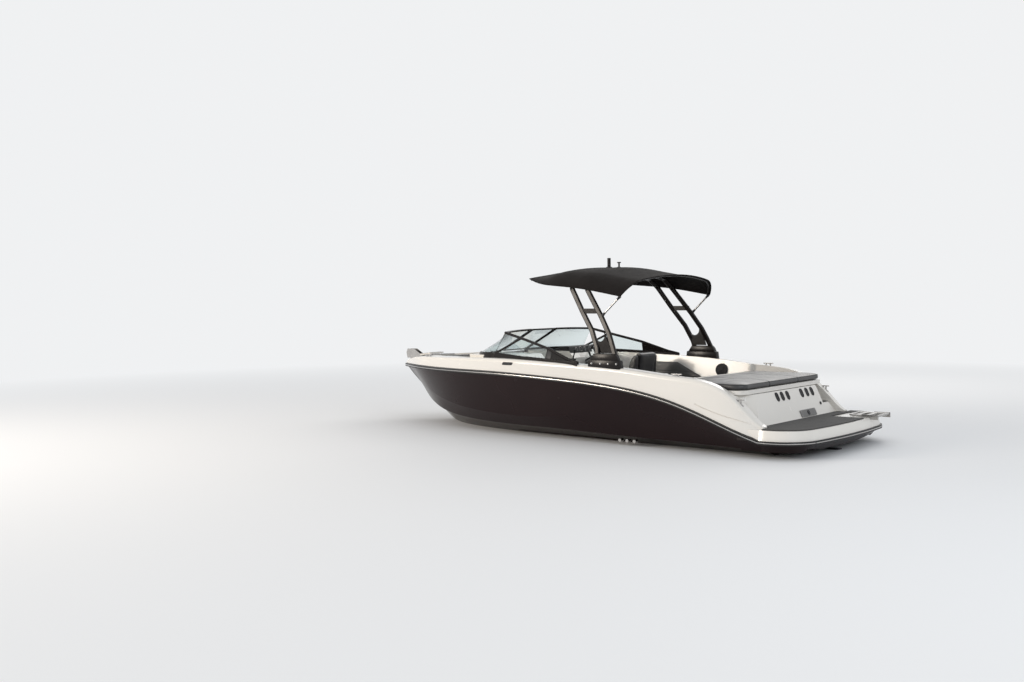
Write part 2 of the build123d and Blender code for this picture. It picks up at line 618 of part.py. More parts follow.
with BuildPart() as windshield_frame:
    for arc in (base_arc, top_arc):
        with BuildSketch(Plane(arc @ 0, z_dir=arc % 0)) as bar_section:
            Circle(SCREEN_BAR_R)
        sweep(path=arc)
    along_polyline([POST_BASE, POST_TOP], SCREEN_BAR_R)
    along_polyline([CORNER_TOP, *SIDE_RAIL, SCREEN_END], SCREEN_BAR_R)
    along_polyline([CORNER_BASE, *SIDE_BASE, SCREEN_END], SCREEN_BAR_R)
    add_bar(CORNER_BASE, SIDE_RAIL[0], SCREEN_BAR_R)
    mirror(about=Plane.XZ)
save("windshield_frame", windshield_frame)


def make_console(side):
    """Console under one half of the windshield, from the passage to the cockpit wall."""
    fore_x = COCKPIT_FORE_X - LINER_WALL
    outline = [(CONSOLE_AFT_X, FLOOR_Z), (CONSOLE_AFT_X, CONSOLE_KNEE_Z),
               (CONSOLE_AFT_X + CONSOLE_RAKE, CONSOLE_TOP_Z - 90),
               (CONSOLE_AFT_X + CONSOLE_BROW, CONSOLE_TOP_Z), (fore_x, CONSOLE_TOP_Z),
               (fore_x, FLOOR_Z)]
    span = (PASSAGE_HALF, 1150)
    with BuildPart() as console:
        add_across(outline, span if side > 0 else other_side(span))
        add_cockpit(LINER_WALL, Mode.INTERSECT)
        add(windshield_frame, mode=Mode.SUBTRACT)
    return console


port_console, helm_console = make_console(1), make_console(-1)
save("port_console", port_console)
save("helm_console", helm_console)

with BuildPart() as cowl_front:
    with BuildSketch(Plane(base_arc @ 0, x_dir=(1, 0, 0), z_dir=base_arc % 0)):
        with Locations((0, COWL_DEEP / 2)):
            Rectangle(COWL_WIDE, COWL_DEEP)
    sweep(path=base_arc)
    for neighbour in (outer, windshield_frame, port_console, cockpit_liner):
        add(neighbour, mode=Mode.SUBTRACT)

with BuildPart() as cowl_side:
    for x, y, z in (CORNER_BASE, *SIDE_BASE, SCREEN_END):
        with BuildSketch(Plane.YZ.offset(x)):
            with Locations((y, z - COWL_DEEP / 2)):
                Rectangle(COWL_WIDE, COWL_DEEP)
    loft(ruled=True)
    for neighbour in (outer, windshield_frame, port_console, cockpit_liner, cowl_front):
        add(neighbour, mode=Mode.SUBTRACT)

with BuildPart() as windshield_cowl:
    add(cowl_front)
    add(cowl_side)
    mirror(about=Plane.XZ)
save("windshield_cowl", windshield_cowl)

with BuildPart() as windshield_panes:
    side_foot = Edge.make_line(CORNER_BASE, SIDE_BASE[1])
    side_head = Edge.make_line(SIDE_RAIL[0], SIDE_RAIL[1])
    for foot, head in ((base_arc.edge(), top_arc.edge()), (side_foot, side_head)):
        thicken(Face.make_surface_from_curves(foot, head), amount=GLASS_THICK)
    mirror(about=Plane.XZ)
    for neighbour in (windshield_frame, windshield_cowl):
        add(neighbour, mode=Mode.SUBTRACT)
save("windshield_panes", windshield_panes)

window_half = POST_BASE[1] - SCREEN_BAR_R - WINDOW_GAP - WINDOW_BAR_R
window_foot = (POST_BASE[0] - SCREEN_BAR_R, window_half, POST_BASE[2] + WINDOW_FORE_LIFT)
window_head = (POST_TOP[0], window_half, POST_TOP[2])
window_loop = [window_foot, window_head, (window_head[0], -window_half, window_head[2]),
               (window_foot[0], -window_half, window_foot[2]), window_foot]
with BuildPart() as window_frame:
    along_polyline(window_loop, WINDOW_BAR_R)
save("window_frame", window_frame)
with BuildPart() as window_pane:
    thicken(Face.make_surface_from_curves(Edge.make_line(window_loop[0], window_loop[3]),
                                          Edge.make_line(window_loop[1], window_loop[2])),
            amount=GLASS_THICK)
    add(window_frame, mode=Mode.SUBTRACT)
save("window_pane", window_pane)

# Tower

with BuildPart() as tower_frame:
    for leg in (FRONT_LEG, AFT_LEG):
        top_x = leg[-1][0]
        with BuildLine() as leg_line:
            FilletPolyline(*leg, (top_x + 20, SHOULDER_Y, SHOULDER_Z), (top_x + 30, CROWN_Y, CROWN_Z),
                           (top_x + 30, 0, CROWN_Z), radius=LEG_BEND_R)
        with BuildSketch(Plane(leg[0], x_dir=(1, 0, 0), z_dir=leg_line.line % 0)):
            RectangleRounded(LEG_LONG, LEG_WIDE, LEG_CORNER_R)
        sweep()
    rung_y = FRONT_LEG[3][1]
    add_block((AFT_LEG[3][0] + 20, FRONT_LEG[3][0]), (rung_y - RUNG_THICK / 2, rung_y + RUNG_THICK / 2),
              (RUNG_Z - RUNG_TALL / 2, RUNG_Z + RUNG_TALL / 2))
    with BuildSketch(Plane.XZ.offset(-INFILL_Y[1])) as infill:
        with BuildLine():
            Polyline((-833, 1300), (-900, 1180), (-940, INFILL_BOTTOM_Z), (-742, INFILL_BOTTOM_Z),
                     (-714, 1226))
            ThreePointArc((-714, 1226), (-790, 1200), (-833, 1300))
        make_face()
    extrude(amount=INFILL_Y[1] - INFILL_Y[0])
    mirror(about=Plane.XZ)
    add_block(CROWN_PLATE_X, (-CROWN_PLATE_HALF, CROWN_PLATE_HALF), CROWN_PLATE_Z)
save("tower_frame", tower_frame)

with BuildPart() as tower_feet:
    add_across([(-640, FOOT_BOTTOM_Z), (-650, FOOT_STEP_Z), (-668, FOOT_STEP_Z), (-700, FOOT_TOP_Z),
                (-1040, FOOT_TOP_Z), (-1062, FOOT_STEP_Z), (-1080, FOOT_STEP_Z), (-1095, FOOT_BOTTOM_Z)],
               FOOT_Y)
    mirror(about=Plane.XZ)
    for neighbour in (outer, tower_frame):
        add(neighbour, mode=Mode.SUBTRACT)
save("tower_feet", tower_feet)

with BuildPart() as tower_fittings:
    add_bar((POST_X, 0, CROWN_PLATE_Z[1]), (POST_X, 0, POST_TOP_Z), POST_R)
    add_bar((KNOB_X, 0, CROWN_PLATE_Z[1]), (KNOB_X, 0, KNOB_TOP_Z), KNOB_NECK_R)
    add_bar((KNOB_X, 0, KNOB_TOP_Z - KNOB_HEAD_THICK), (KNOB_X, 0, KNOB_TOP_Z), KNOB_HEAD_R)
save("tower_fittings", tower_fittings)

# Canopy and its struts


def draw_arch(half, edge_z, crown_z):
    """Port half of an arch: a flat crown arc, then a steeper one to the edge."""
    knee = (CANOPY_KNEE_SHARE * half, crown_z - CANOPY_KNEE_DROP * (crown_z - edge_z))
    crown_arc = TangentArc((0, crown_z), knee, tangent=(1, 0))
    TangentArc(knee, (half, edge_z), tangent=crown_arc % 1)


with BuildPart() as canopy:
    for row in CANOPY:
        with BuildSketch(Plane.YZ.offset(row.x)):
            with BuildLine():
                draw_arch(row.half, row.edge_z, row.crown_z)
                draw_arch(row.half - CANOPY_THICK, row.edge_z, row.crown_z - CANOPY_THICK)
                Line((row.half, row.edge_z), (row.half - CANOPY_THICK, row.edge_z))
                mirror(about=Plane.YZ)
            make_face()
    loft()
    add_across(CANOPY_AFT_RAKE, (-1200, 1200), Mode.SUBTRACT)
    for x, radius in ((POST_X, POST_R), (KNOB_X, KNOB_NECK_R)):
        add_bar((x, 0, CROWN_Z), (x, 0, POST_TOP_Z), radius + CANOPY_HOLE_CLEAR, Mode.SUBTRACT)
save("canopy", canopy)

with BuildPart() as canopy_struts:
    add_bar(STRUT_FOOT, STRUT_TOP, STRUT_R)
    mirror(about=Plane.XZ)
    add(tower_frame, mode=Mode.SUBTRACT)
save("canopy_struts", canopy_struts)

# Swivel seats


def add_soft_profile(outline, y_span):
    """Outline in the X-Z plane with rounded corners and rounded side edges."""
    with BuildPart() as cushion:
        with BuildSketch(Plane.XZ.offset(-y_span[1])):
            with BuildLine():
                Polyline(*outline, close=True)
            make_face()
            fillet(vertices(), SEAT_CORNER_R)
        extrude(amount=y_span[1] - y_span[0])
        fillet(cushion.faces().filter_by(Axis.Y).edges(), SEAT_EDGE_R)
    return cushion


PAN_OUTLINE = [(-200, -110), (240, -110), (245, 0), (-150, -10), (-205, 445), (-300, 435), (-235, -60)]
SIDE_OUTLINE = [(-200, -110), (240, -110), (235, 25), (40, 60), (-70, 140), (-170, 345), (-215, 400),
                (-285, 390), (-235, -60)]
for name, y_centre in (("companion_seat", SEAT_Y), ("helm_seat", -SEAT_Y)):
    inner = SEAT_HALF - BOLSTER_WIDE
    shapes = [(PAN_OUTLINE, (-inner - 2, inner + 2)), (SIDE_OUTLINE, (inner, SEAT_HALF)),
              (SIDE_OUTLINE, (-SEAT_HALF, -inner))]
    cushions = []
    for outline, (low, high) in shapes:
        placed = [(SEAT_X + x, SEAT_TOP_Z + z) for x, z in outline]
        cushions.append(add_soft_profile(placed, (y_centre + low, y_centre + high)))
    with BuildPart() as seat:
        for cushion in cushions:
            add(cushion)
        plate_z = SEAT_TOP_Z - SEAT_DEEP
        add_bar((SEAT_X, y_centre, plate_z - SEAT_PLATE_THICK), (SEAT_X, y_centre, plate_z + 20),
                SEAT_PLATE_R)
    save(name, seat)

with BuildPart() as seat_pedestals:
    top_z = SEAT_TOP_Z - SEAT_DEEP - SEAT_PLATE_THICK - SEAT_SWIVEL_GAP
    for y in (SEAT_Y, -SEAT_Y):
        add_bar((SEAT_X, y, MAT_TOP_Z), (SEAT_X, y, top_z), PEDESTAL_R)
        add_bar((SEAT_X, y, MAT_TOP_Z), (SEAT_X, y, MAT_TOP_Z + PEDESTAL_FOOT_THICK), PEDESTAL_FOOT_R)
save("seat_pedestals", seat_pedestals)

# Bench, side panels and bow cushions

with BuildPart() as bench_base:
    add_block((BENCH_BACK_X[0], BENCH_FORE_X), (-1100, 1100), (FLOOR_Z, BENCH_TOP_Z))
    add_cockpit(LINER_WALL, Mode.INTERSECT)
save("bench_base", bench_base)

with BuildPart() as bench_cushions:
    add_block((BENCH_BACK_X[1] + CUSHION_GAP, BENCH_FORE_X + 15), (-1100, 1100),
              (BENCH_TOP_Z, BENCH_TOP_Z + BENCH_CUSHION_THICK))
    add_block(BENCH_BACK_X, (-1100, 1100), (BENCH_TOP_Z, BENCH_BACK_TOP_Z))
    add_cockpit(LINER_WALL + CUSHION_GAP, Mode.INTERSECT)
save("bench_cushions", bench_cushions)

with BuildPart() as side_panels:
    add_across(PANEL_OUTLINE, (-1150, 1150))
    add_cockpit(LINER_WALL, Mode.INTERSECT)
    add_cockpit(LINER_WALL + PANEL_THICK, Mode.SUBTRACT)
save("side_panels", side_panels)

BOW_FLOOR_Z = WELL_FLOOR_Z + LINER_WALL
BOW_SEAT_Z = BOW_FLOOR_Z + BOW_CUSHION_THICK
bow_inset = LINER_WALL + BOW_CUSHION_GAP
foot_clear = FOOTWELL_HALF + 4
with BuildPart() as bow_cushion:
    add_taper(well_outline(bow_inset), BOW_FLOOR_Z, well_outline(bow_inset), BOW_SEAT_Z)
    add_block((1300, FOOTWELL_FORE_X + 15), (-foot_clear, foot_clear), (0, OPEN_ABOVE_Z), Mode.SUBTRACT)
save("bow_cushion", bow_cushion)

with BuildPart() as bow_backrest:
    add_taper(well_outline(bow_inset), BOW_SEAT_Z, well_outline(bow_inset), OPEN_ABOVE_Z)
    bow_inner = bow_inset + BOW_BACK_THICK
    add_taper(well_outline(bow_inner), BOW_SEAT_Z - 1, well_outline(bow_inner), OPEN_ABOVE_Z + 1,
              Mode.SUBTRACT)
    add_block((1300, WELL_LOW[0][0] + bow_inner + 1), (-foot_clear, foot_clear), (0, OPEN_ABOVE_Z + 1),
              Mode.SUBTRACT)
    above = [(x, OPEN_ABOVE_Z + 1) for x, z in reversed(BOW_BACK_SLOPE)]
    add_across([*BOW_BACK_SLOPE, *above], (-1000, 1000), Mode.SUBTRACT)
save("bow_backrest", bow_backrest)

# Engine, its hatch and the sunpad

with BuildPart() as engine:
    add_block(ENGINE_X, (-ENGINE_HALF, ENGINE_HALF), (BAY_FLOOR_Z, ENGINE_TOP_Z))
save("engine", engine)

HATCH_BASE_Z = HATCH_LEDGE_Z + HATCH_GAP
HATCH_TOP_Z = HATCH_BASE_Z + HATCH_THICK
hatch_middle = ((HATCH_AFT_X + HATCH_FORE_X) / 2, 0)
with BuildPart() as engine_hatch:
    with BuildSketch(Plane.XY.offset(HATCH_BASE_Z)):
        with Locations(hatch_middle):
            RectangleRounded(HATCH_FORE_X - HATCH_AFT_X, 2 * HATCH_HALF, SUNPAD_CORNER_R + SUNPAD_INSET)
    extrude(amount=HATCH_THICK)
save("engine_hatch", engine_hatch)

with BuildPart() as sunpad:
    with BuildSketch(Plane.XY.offset(HATCH_TOP_Z)):
        with Locations(hatch_middle):
            RectangleRounded(HATCH_FORE_X - HATCH_AFT_X - 2 * SUNPAD_INSET,
                             2 * (HATCH_HALF - SUNPAD_INSET), SUNPAD_CORNER_R)
    extrude(amount=SUNPAD_THICK)
    fillet(sunpad.faces().sort_by(Axis.Z)[-1].edges(), SUNPAD_EDGE_R)
save("sunpad", sunpad)

# Anchor locker lid and bow roller

lid_x = LOCKER_X[0] - LID_LAP
lid_long = LOCKER_X[1] - LOCKER_X[0] + 2 * LID_LAP
lid_drop = between("edge_z", lid_x + lid_long) - between("edge_z", lid_x)
lid_foot_z = between("edge_z", lid_x) + DECK_CROWN + LID_LIFT
lid_plane = Plane((lid_x, 0, lid_foot_z), x_dir=(lid_long, 0, lid_drop), z_dir=(-lid_drop, 0, lid_long))
with BuildPart() as locker_lid:
    with BuildSketch(lid_plane):
        with Locations((lid_long / 2, 0)):
            RectangleRounded(lid_long, 2 * (LOCKER_HALF + LID_LAP), 30)
    extrude(amount=LID_THICK)
save("locker_lid", locker_lid)

with BuildPart() as bow_roller:
    for y in (CHEEK_Y, -CHEEK_Y - CHEEK_THICK):
        add_across(CHEEK_OUTLINE, (y, y + CHEEK_THICK))
    add_cross_bar((ROLLER_X, ROLLER_Z), (-CHEEK_Y - 1, CHEEK_Y + 1), ROLLER_R)
    add_block(CHANNEL_X, (-CHEEK_Y - 1, CHEEK_Y + 1), CHANNEL_Z)
    add(outer, mode=Mode.SUBTRACT)
save("bow_roller", bow_roller)

# Cleats, eyes, side lights and outlets

with BuildPart() as cleats:
    for x in CLEAT_XS:
        y, z = between("edge_y", x) - CLEAT_INBOARD, between("edge_z", x)
        top_z = z + CLEAT_RISE
        add_bar((x - CLEAT_LENGTH / 2, y, top_z), (x + CLEAT_LENGTH / 2, y, top_z), CLEAT_R)
        for foot_x in (x - CLEAT_FOOT, x + CLEAT_FOOT):
            add_bar((foot_x, y, z - CLEAT_RISE), (foot_x, y, top_z), CLEAT_R + 2)
    mirror(about=Plane.XZ)
    add(outer, mode=Mode.SUBTRACT)
save("cleats", cleats)


def add_eye(centre, lean):
    """Ring with its hole across the boat, on a stalk that leans into the hull."""
    x, y, z = centre
    across = (y - EYE_THICK / 2, y + EYE_THICK / 2)
    add_cross_bar((x, z), across, EYE_R)
    add_bar(centre, tuple(c + EYE_REACH * d for c, d in zip(centre, lean)), EYE_THICK / 2)
    add_cross_bar((x, z), across, EYE_HOLE_R, Mode.SUBTRACT)


with BuildPart() as tie_down_eyes:
    add_eye(STERN_EYE, (1, 0, 0))
    mirror(about=Plane.XZ)
    add_eye(BOW_EYE, BOW_EYE_LEAN)
    add(outer, mode=Mode.SUBTRACT)
save("tie_down_eyes", tie_down_eyes)

with BuildPart() as side_lights:
    with BuildSketch(Plane.XZ.offset(-1000)):
        with Locations(SIDE_LIGHT):
            SlotOverall(SIDE_LIGHT_LONG, SIDE_LIGHT_TALL)
    extrude(amount=-300)
    add(outer.part.moved(Location((0, SIDE_LIGHT_PROUD, 0))), mode=Mode.INTERSECT)
    mirror(about=Plane.XZ)
    add(outer, mode=Mode.SUBTRACT)
save("side_lights", side_lights)

with BuildPart() as through_hulls:
    for x in OUTLET_XS:
        y = between("chine_y", x) + OUTLET_PROUD
        add_cross_bar((x, OUTLET_Z), (y - 60, y), OUTLET_R)
    add(outer, mode=Mode.SUBTRACT)
save("through_hulls", through_hulls)

# Transom vents, panel and speakers

transom_plane = Plane((TRANSOM_FOOT_X, 0, PLATFORM_TOP_Z), x_dir=(0, -1, 0),
                      z_dir=(PLATFORM_TOP_Z - HATCH_LEDGE_Z, 0, HATCH_AFT_X - HATCH_CLEAR - TRANSOM_FOOT_X))
with BuildPart() as transom_vents:
    with BuildSketch(transom_plane):
        with Locations(*((-y, VENT_UP) for y in VENT_YS)):
            SlotOverall(VENT_TALL, VENT_WIDE, rotation=90)
        with Locations((-SOCKET_Y, SOCKET_UP)):
            Circle(SOCKET_R)
    extrude(amount=VENT_PROUD)
save("transom_vents", transom_vents)

with BuildPart() as transom_panel:
    with BuildSketch(transom_plane):
        with Locations((-sum(PANEL_Y) / 2, sum(PANEL_UP) / 2)):
            RectangleRounded(PANEL_Y[1] - PANEL_Y[0], PANEL_UP[1] - PANEL_UP[0], 18)
    extrude(amount=PANEL_PROUD)
save("transom_panel", transom_panel)

with BuildPart() as speakers:
    for x, z in SPEAKERS:
        add_cross_bar((x, z), (900, 1150), SPEAKER_R)
    mirror(about=Plane.XZ)
    add_cockpit(LINER_WALL, Mode.INTERSECT)
    add_cockpit(LINER_WALL + SPEAKER_PROUD, Mode.SUBTRACT)
save("speakers", speakers)

# Dash, wheel, column and throttle

dash_foot_x = CONSOLE_AFT_X + CONSOLE_RAKE + 50
with BuildPart() as dash:
    add_across([(dash_foot_x, CONSOLE_TOP_Z - 60), (dash_foot_x + 45, CONSOLE_TOP_Z + 62),
                (dash_foot_x + 110, CONSOLE_TOP_Z + 66), (dash_foot_x + 330, CONSOLE_TOP_Z + 20),
                (dash_foot_x + 500, CONSOLE_TOP_Z), (dash_foot_x + 100, CONSOLE_TOP_Z - 60)],
               (HELM_Y - DASH_HALF, HELM_Y + DASH_HALF))
    fillet(dash.edges().filter_by(Axis.Y).sort_by(Axis.Z)[-2:], 18)
    add(helm_console, mode=Mode.SUBTRACT)
save("dash", dash)

wheel_axis = (-cos(radians(WHEEL_TILT)), 0, sin(radians(WHEEL_TILT)))
wheel_plane = Plane(WHEEL_CENTRE, x_dir=(0, 1, 0), z_dir=wheel_axis)
with BuildPart(wheel_plane) as steering_wheel:
    Torus(WHEEL_R - WHEEL_RIM_R, WHEEL_RIM_R)
    with BuildSketch(wheel_plane.offset(-SPOKE_THICK)):
        Circle(WHEEL_HUB_R)
        with PolarLocations((WHEEL_R - WHEEL_RIM_R) / 2, 3, start_angle=270):
            Rectangle(WHEEL_R - WHEEL_RIM_R, SPOKE_WIDE)
    extrude(amount=SPOKE_THICK)
save("steering_wheel", steering_wheel)

with BuildPart() as helm_controls:
    add_bar(tuple(wheel_plane.from_local_coords((0, 0, -SPOKE_THICK - COLUMN_GAP))),
            tuple(wheel_plane.from_local_coords((0, 0, -COLUMN_LENGTH))), COLUMN_R)
    add(helm_console, mode=Mode.SUBTRACT)
    side_y = -PASSAGE_HALF
    half = THROTTLE_BASE / 2
    add_block((THROTTLE_X - half, THROTTLE_X + half), (side_y, side_y + THROTTLE_THICK),
              (THROTTLE_Z - half, THROTTLE_Z + half))
    lever_y = side_y + THROTTLE_THICK - 4
    grip = (THROTTLE_X - 40, lever_y, THROTTLE_Z + 140)
    add_bar((THROTTLE_X, lever_y, THROTTLE_Z), grip, 9)
    add_bar(grip, (grip[0], grip[1], grip[2] + 34), 16)
save("helm_controls", helm_controls)

# Sterndrive: transom shield, gimbal ring, leg, propeller and trim rams

with BuildPart() as transom_shield:
    with BuildSketch(Plane.YZ.offset(SHIELD_X[0])):
        with Locations((0, sum(SHIELD_Z) / 2)):
            RectangleRounded(2 * SHIELD_HALF, SHIELD_Z[1] - SHIELD_Z[0], SHIELD_CORNER_R)
    extrude(amount=SHIELD_X[1] - SHIELD_X[0])
    for foot_z in (RING_Z[1] + YOKE_GAP, RING_Z[0] - YOKE_GAP - YOKE_ARM_THICK):
        arm = (foot_z, foot_z + YOKE_ARM_THICK)
        add_block((STEER_X, SHIELD_X[0]), (-YOKE_ARM_HALF, YOKE_ARM_HALF), arm)
        add_bar((STEER_X, 0, arm[0]), (STEER_X, 0, arm[1]), YOKE_ARM_HALF)
        add_bar((STEER_X, 0, arm[0]), (STEER_X, 0, arm[1]), STEER_PIN_R + PIN_CLEAR, Mode.SUBTRACT)
save("transom_shield", transom_shield)

with BuildPart() as gimbal_ring:
    ring_x = (STEER_X - RING_THICK / 2, STEER_X + RING_THICK / 2)
    add_block(ring_x, (-RING_HALF, RING_HALF), RING_Z)
    add_block(ring_x, (-RING_HOLE_HALF, RING_HOLE_HALF), RING_HOLE_Z, Mode.SUBTRACT)
    pin_over = YOKE_GAP + YOKE_ARM_THICK
    for pin_z in ((RING_Z[1], RING_Z[1] + pin_over), (RING_Z[0] - pin_over, RING_Z[0])):
        add_bar((STEER_X, 0, pin_z[0]), (STEER_X, 0, pin_z[1]), STEER_PIN_R)
    for arm_y in (TILT_ARM_Y, other_side(TILT_ARM_Y)):
        add_block((TILT_X, ring_x[0]), arm_y, (TILT_Z - TILT_ARM_HALF, TILT_Z + TILT_ARM_HALF))
        add_cross_bar((TILT_X, TILT_Z), arm_y, TILT_ARM_HALF)
        add_cross_bar((TILT_X, TILT_Z), arm_y, TILT_PIN_R + PIN_CLEAR, Mode.SUBTRACT)
    ram_reach = RAM_Y + RAM_PIN_OVER
    add_cross_bar(RAM_PIVOT, (RING_HOLE_HALF, ram_reach), RAM_PIN_R)
    add_cross_bar(RAM_PIVOT, (-ram_reach, -RING_HOLE_HALF), RAM_PIN_R)
save("gimbal_ring", gimbal_ring)

with BuildPart() as upper_leg:
    with BuildSketch(Plane.XZ):
        with BuildLine():
            Polyline(*DRIVE_OUTLINE, close=True)
        make_face()
        fillet(vertices(), DRIVE_CORNER_R)
    extrude(amount=LEG_HALF, both=True)
    fillet(upper_leg.faces().filter_by(Axis.Y).edges(), DRIVE_EDGE_R)

with BuildPart() as drive_leg:
    for foil in FOILS:
        widest = foil.nose_x + FOIL_NOSE_SHARE * (foil.tail_x - foil.nose_x)
        with BuildSketch(Plane.XY.offset(foil.z)):
            with BuildLine():
                Line((foil.tail_x, 0), (foil.tail_x, FOIL_TAIL_HALF))
                Line((foil.tail_x, FOIL_TAIL_HALF), (widest, foil.half))
                TangentArc((foil.nose_x, 0), (widest, foil.half), tangent=(0, 1))
                mirror(about=Plane.XZ)
            make_face()
    loft()
    with BuildSketch(Plane.XY.offset(PLATE_Z)):
        with Locations((sum(PLATE_X) / 2, 0)):
            RectangleRounded(PLATE_X[1] - PLATE_X[0], 2 * PLATE_HALF, PLATE_CORNER_R)
    extrude(amount=PLATE_THICK)
    nose_x = TORPEDO_NOSE_X - NOSE_R
    with BuildSketch(Plane.XZ):
        with BuildLine():
            Polyline((TORPEDO_NOSE_X, SHAFT_Z), (TORPEDO_AFT_X, SHAFT_Z),
                     (TORPEDO_AFT_X, SHAFT_Z + TORPEDO_R), (TORPEDO_SHOULDER_X, SHAFT_Z + TORPEDO_R))
            Line((TORPEDO_SHOULDER_X, SHAFT_Z + TORPEDO_R), (nose_x, SHAFT_Z + NOSE_R))
            CenterArc((nose_x, SHAFT_Z), NOSE_R, 0, 90)
        make_face()
    revolve(axis=Axis((0, 0, SHAFT_Z), (1, 0, 0)))
    add_across(SKEG_OUTLINE, (-SKEG_HALF, SKEG_HALF))
    add(upper_leg)
    pin_out = TILT_ARM_Y[1]
    add_cross_bar((TILT_X, TILT_Z), (-pin_out, pin_out), TILT_PIN_R)
    add_cross_bar(RAM_EYE, (-ram_reach, ram_reach), RAM_PIN_R)
save("drive_leg", drive_leg)

with BuildPart() as blade:
    for row in BLADE:
        pitch = radians(row.pitch)
        with BuildSketch(Plane((row.radius, 0, 0), x_dir=(0, cos(pitch), sin(pitch)), z_dir=(1, 0, 0))):
            with BuildLine():
                ThreePointArc((-row.chord / 2, 0), (0, row.thick * 0.7), (row.chord / 2, 0))
                ThreePointArc((row.chord / 2, 0), (0, -row.thick * 0.3), (-row.chord / 2, 0))
            make_face()
    loft()

with BuildPart(Plane((PROP_X, 0, SHAFT_Z), x_dir=(0, 0, 1), z_dir=(1, 0, 0))) as propeller:
    Cylinder(PROP_HUB_R, PROP_HUB_LONG)
    with Locations((0, 0, -PROP_HUB_LONG / 2)):
        Cylinder(PROP_HUB_BORE_R, PROP_HUB_LONG / 2, align=BASE, mode=Mode.SUBTRACT)
    with PolarLocations(0, PROP_BLADES):
        add(blade)
save("propeller", propeller)

ram_length = hypot(RAM_EYE[0] - RAM_PIVOT[0], RAM_EYE[1] - RAM_PIVOT[1])


def along_ram(distance):
    """Point of the port ram's axis, from its pivot."""
    share = distance / ram_length
    return (RAM_PIVOT[0] + share * (RAM_EYE[0] - RAM_PIVOT[0]), RAM_Y,
            RAM_PIVOT[1] + share * (RAM_EYE[1] - RAM_PIVOT[1]))


eye_span = (RAM_Y - RAM_R - 1, RAM_Y + RAM_R + 1)
with BuildPart() as trim_cylinders:
    add_bar(along_ram(RAM_BARREL[0]), along_ram(RAM_BARREL[1]), RAM_R)
    add_bar(along_ram(RAM_ROD_START - 6), along_ram(RAM_BARREL[1]), ROD_R + ROD_CLEAR, Mode.SUBTRACT)
    add_cross_bar(RAM_PIVOT, eye_span, RAM_PIN_R + PIN_CLEAR, Mode.SUBTRACT)
    mirror(about=Plane.XZ)
save("trim_cylinders", trim_cylinders)

with BuildPart() as trim_rods:
    add_bar(along_ram(RAM_ROD_START), along_ram(ram_length), ROD_R)
    add_cross_bar(RAM_EYE, (RAM_Y - RAM_EYE_HALF, RAM_Y + RAM_EYE_HALF), RAM_EYE_R)
    add_cross_bar(RAM_EYE, eye_span, RAM_EYE_HOLE_R, Mode.SUBTRACT)
    mirror(about=Plane.XZ)
save("trim_rods", trim_rods)
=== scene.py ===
"""Speedboat afloat on a pale studio floor, seen from off its port quarter.

Metres, in the same frame as the solids: +X to the bow, +Y to port, +Z up, waterline at zero.
"""

import json
from collections import namedtuple
from math import cos, pi, radians, sin

import bmesh
import bpy
from mathutils import Matrix, Vector
from mathutils.bvhtree import BVHTree


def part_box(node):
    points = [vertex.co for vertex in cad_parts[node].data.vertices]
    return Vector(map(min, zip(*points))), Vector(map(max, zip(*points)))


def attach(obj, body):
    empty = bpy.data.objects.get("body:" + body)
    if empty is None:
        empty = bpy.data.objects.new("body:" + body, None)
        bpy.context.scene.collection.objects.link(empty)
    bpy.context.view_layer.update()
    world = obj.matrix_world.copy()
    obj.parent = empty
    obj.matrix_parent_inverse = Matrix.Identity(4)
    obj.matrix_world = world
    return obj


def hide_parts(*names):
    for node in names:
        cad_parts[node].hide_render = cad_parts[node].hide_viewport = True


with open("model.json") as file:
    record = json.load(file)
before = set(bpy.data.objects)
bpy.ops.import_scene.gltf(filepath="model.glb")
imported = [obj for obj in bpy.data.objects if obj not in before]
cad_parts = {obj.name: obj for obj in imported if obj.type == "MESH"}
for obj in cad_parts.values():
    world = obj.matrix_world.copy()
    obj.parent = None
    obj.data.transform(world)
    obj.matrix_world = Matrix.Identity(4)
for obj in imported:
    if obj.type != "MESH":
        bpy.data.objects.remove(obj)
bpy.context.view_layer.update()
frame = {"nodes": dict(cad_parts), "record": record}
NODES = frame["nodes"]
UP = Vector((0, 0, 1))

# Camera: the photograph's focal length in pixels, its width, its place and its axes
FOCAL_PX, FRAME_WIDE = 1138.0, 1024
SENSOR_MM = 36
CAMERA_REACH = 400
CAMERA_AT = Vector((-8.36612, 11.99462, 1.75579))
CAMERA_RIGHT = Vector((-0.77435556, -0.63263521, -0.01208907))
CAMERA_UP = Vector((0.01637236, -0.03913189, 0.99909992))
CAMERA_BACK = Vector((-0.63253886, 0.77346065, 0.04065973))


def set_camera():
    data = bpy.data.cameras.new("camera")
    data.sensor_width = SENSOR_MM
    data.lens = FOCAL_PX / FRAME_WIDE * SENSOR_MM
    data.clip_end = CAMERA_REACH
    camera = bpy.data.objects.new("camera", data)
    turn = Matrix((CAMERA_RIGHT, CAMERA_UP, CAMERA_BACK)).transposed()
    camera.matrix_world = Matrix.Translation(CAMERA_AT) @ turn.to_4x4()
    bpy.context.collection.objects.link(camera)
    bpy.context.scene.camera = camera


# Lamps: name, place, size, power and colour, each aimed at the boat's middle
LAMPS = [
    ("key", (8.5, 12.5, 4.5), 5.0, 1150, (1.0, 0.90, 0.78)),
    ("fill", (-11.0, 5.0, 6.0), 7.0, 240, (0.84, 0.92, 1.0)),
    ("rim", (1.0, -10.0, 7.0), 6.0, 260, (1.0, 0.97, 0.93)),
]
LAMP_AIM = Vector((0, 0, 0.6))
WORLD_LIGHT, WORLD_COLOUR = 0.62, (0.95, 0.97, 1.0, 1)
BACKDROP = (0.87, 0.88, 0.89, 1)
FLOOR_COLOUR = (0.86, 0.865, 0.87)
FLOOR_HALF = 150
FLOOR_FADES = (5.0, 16.0)


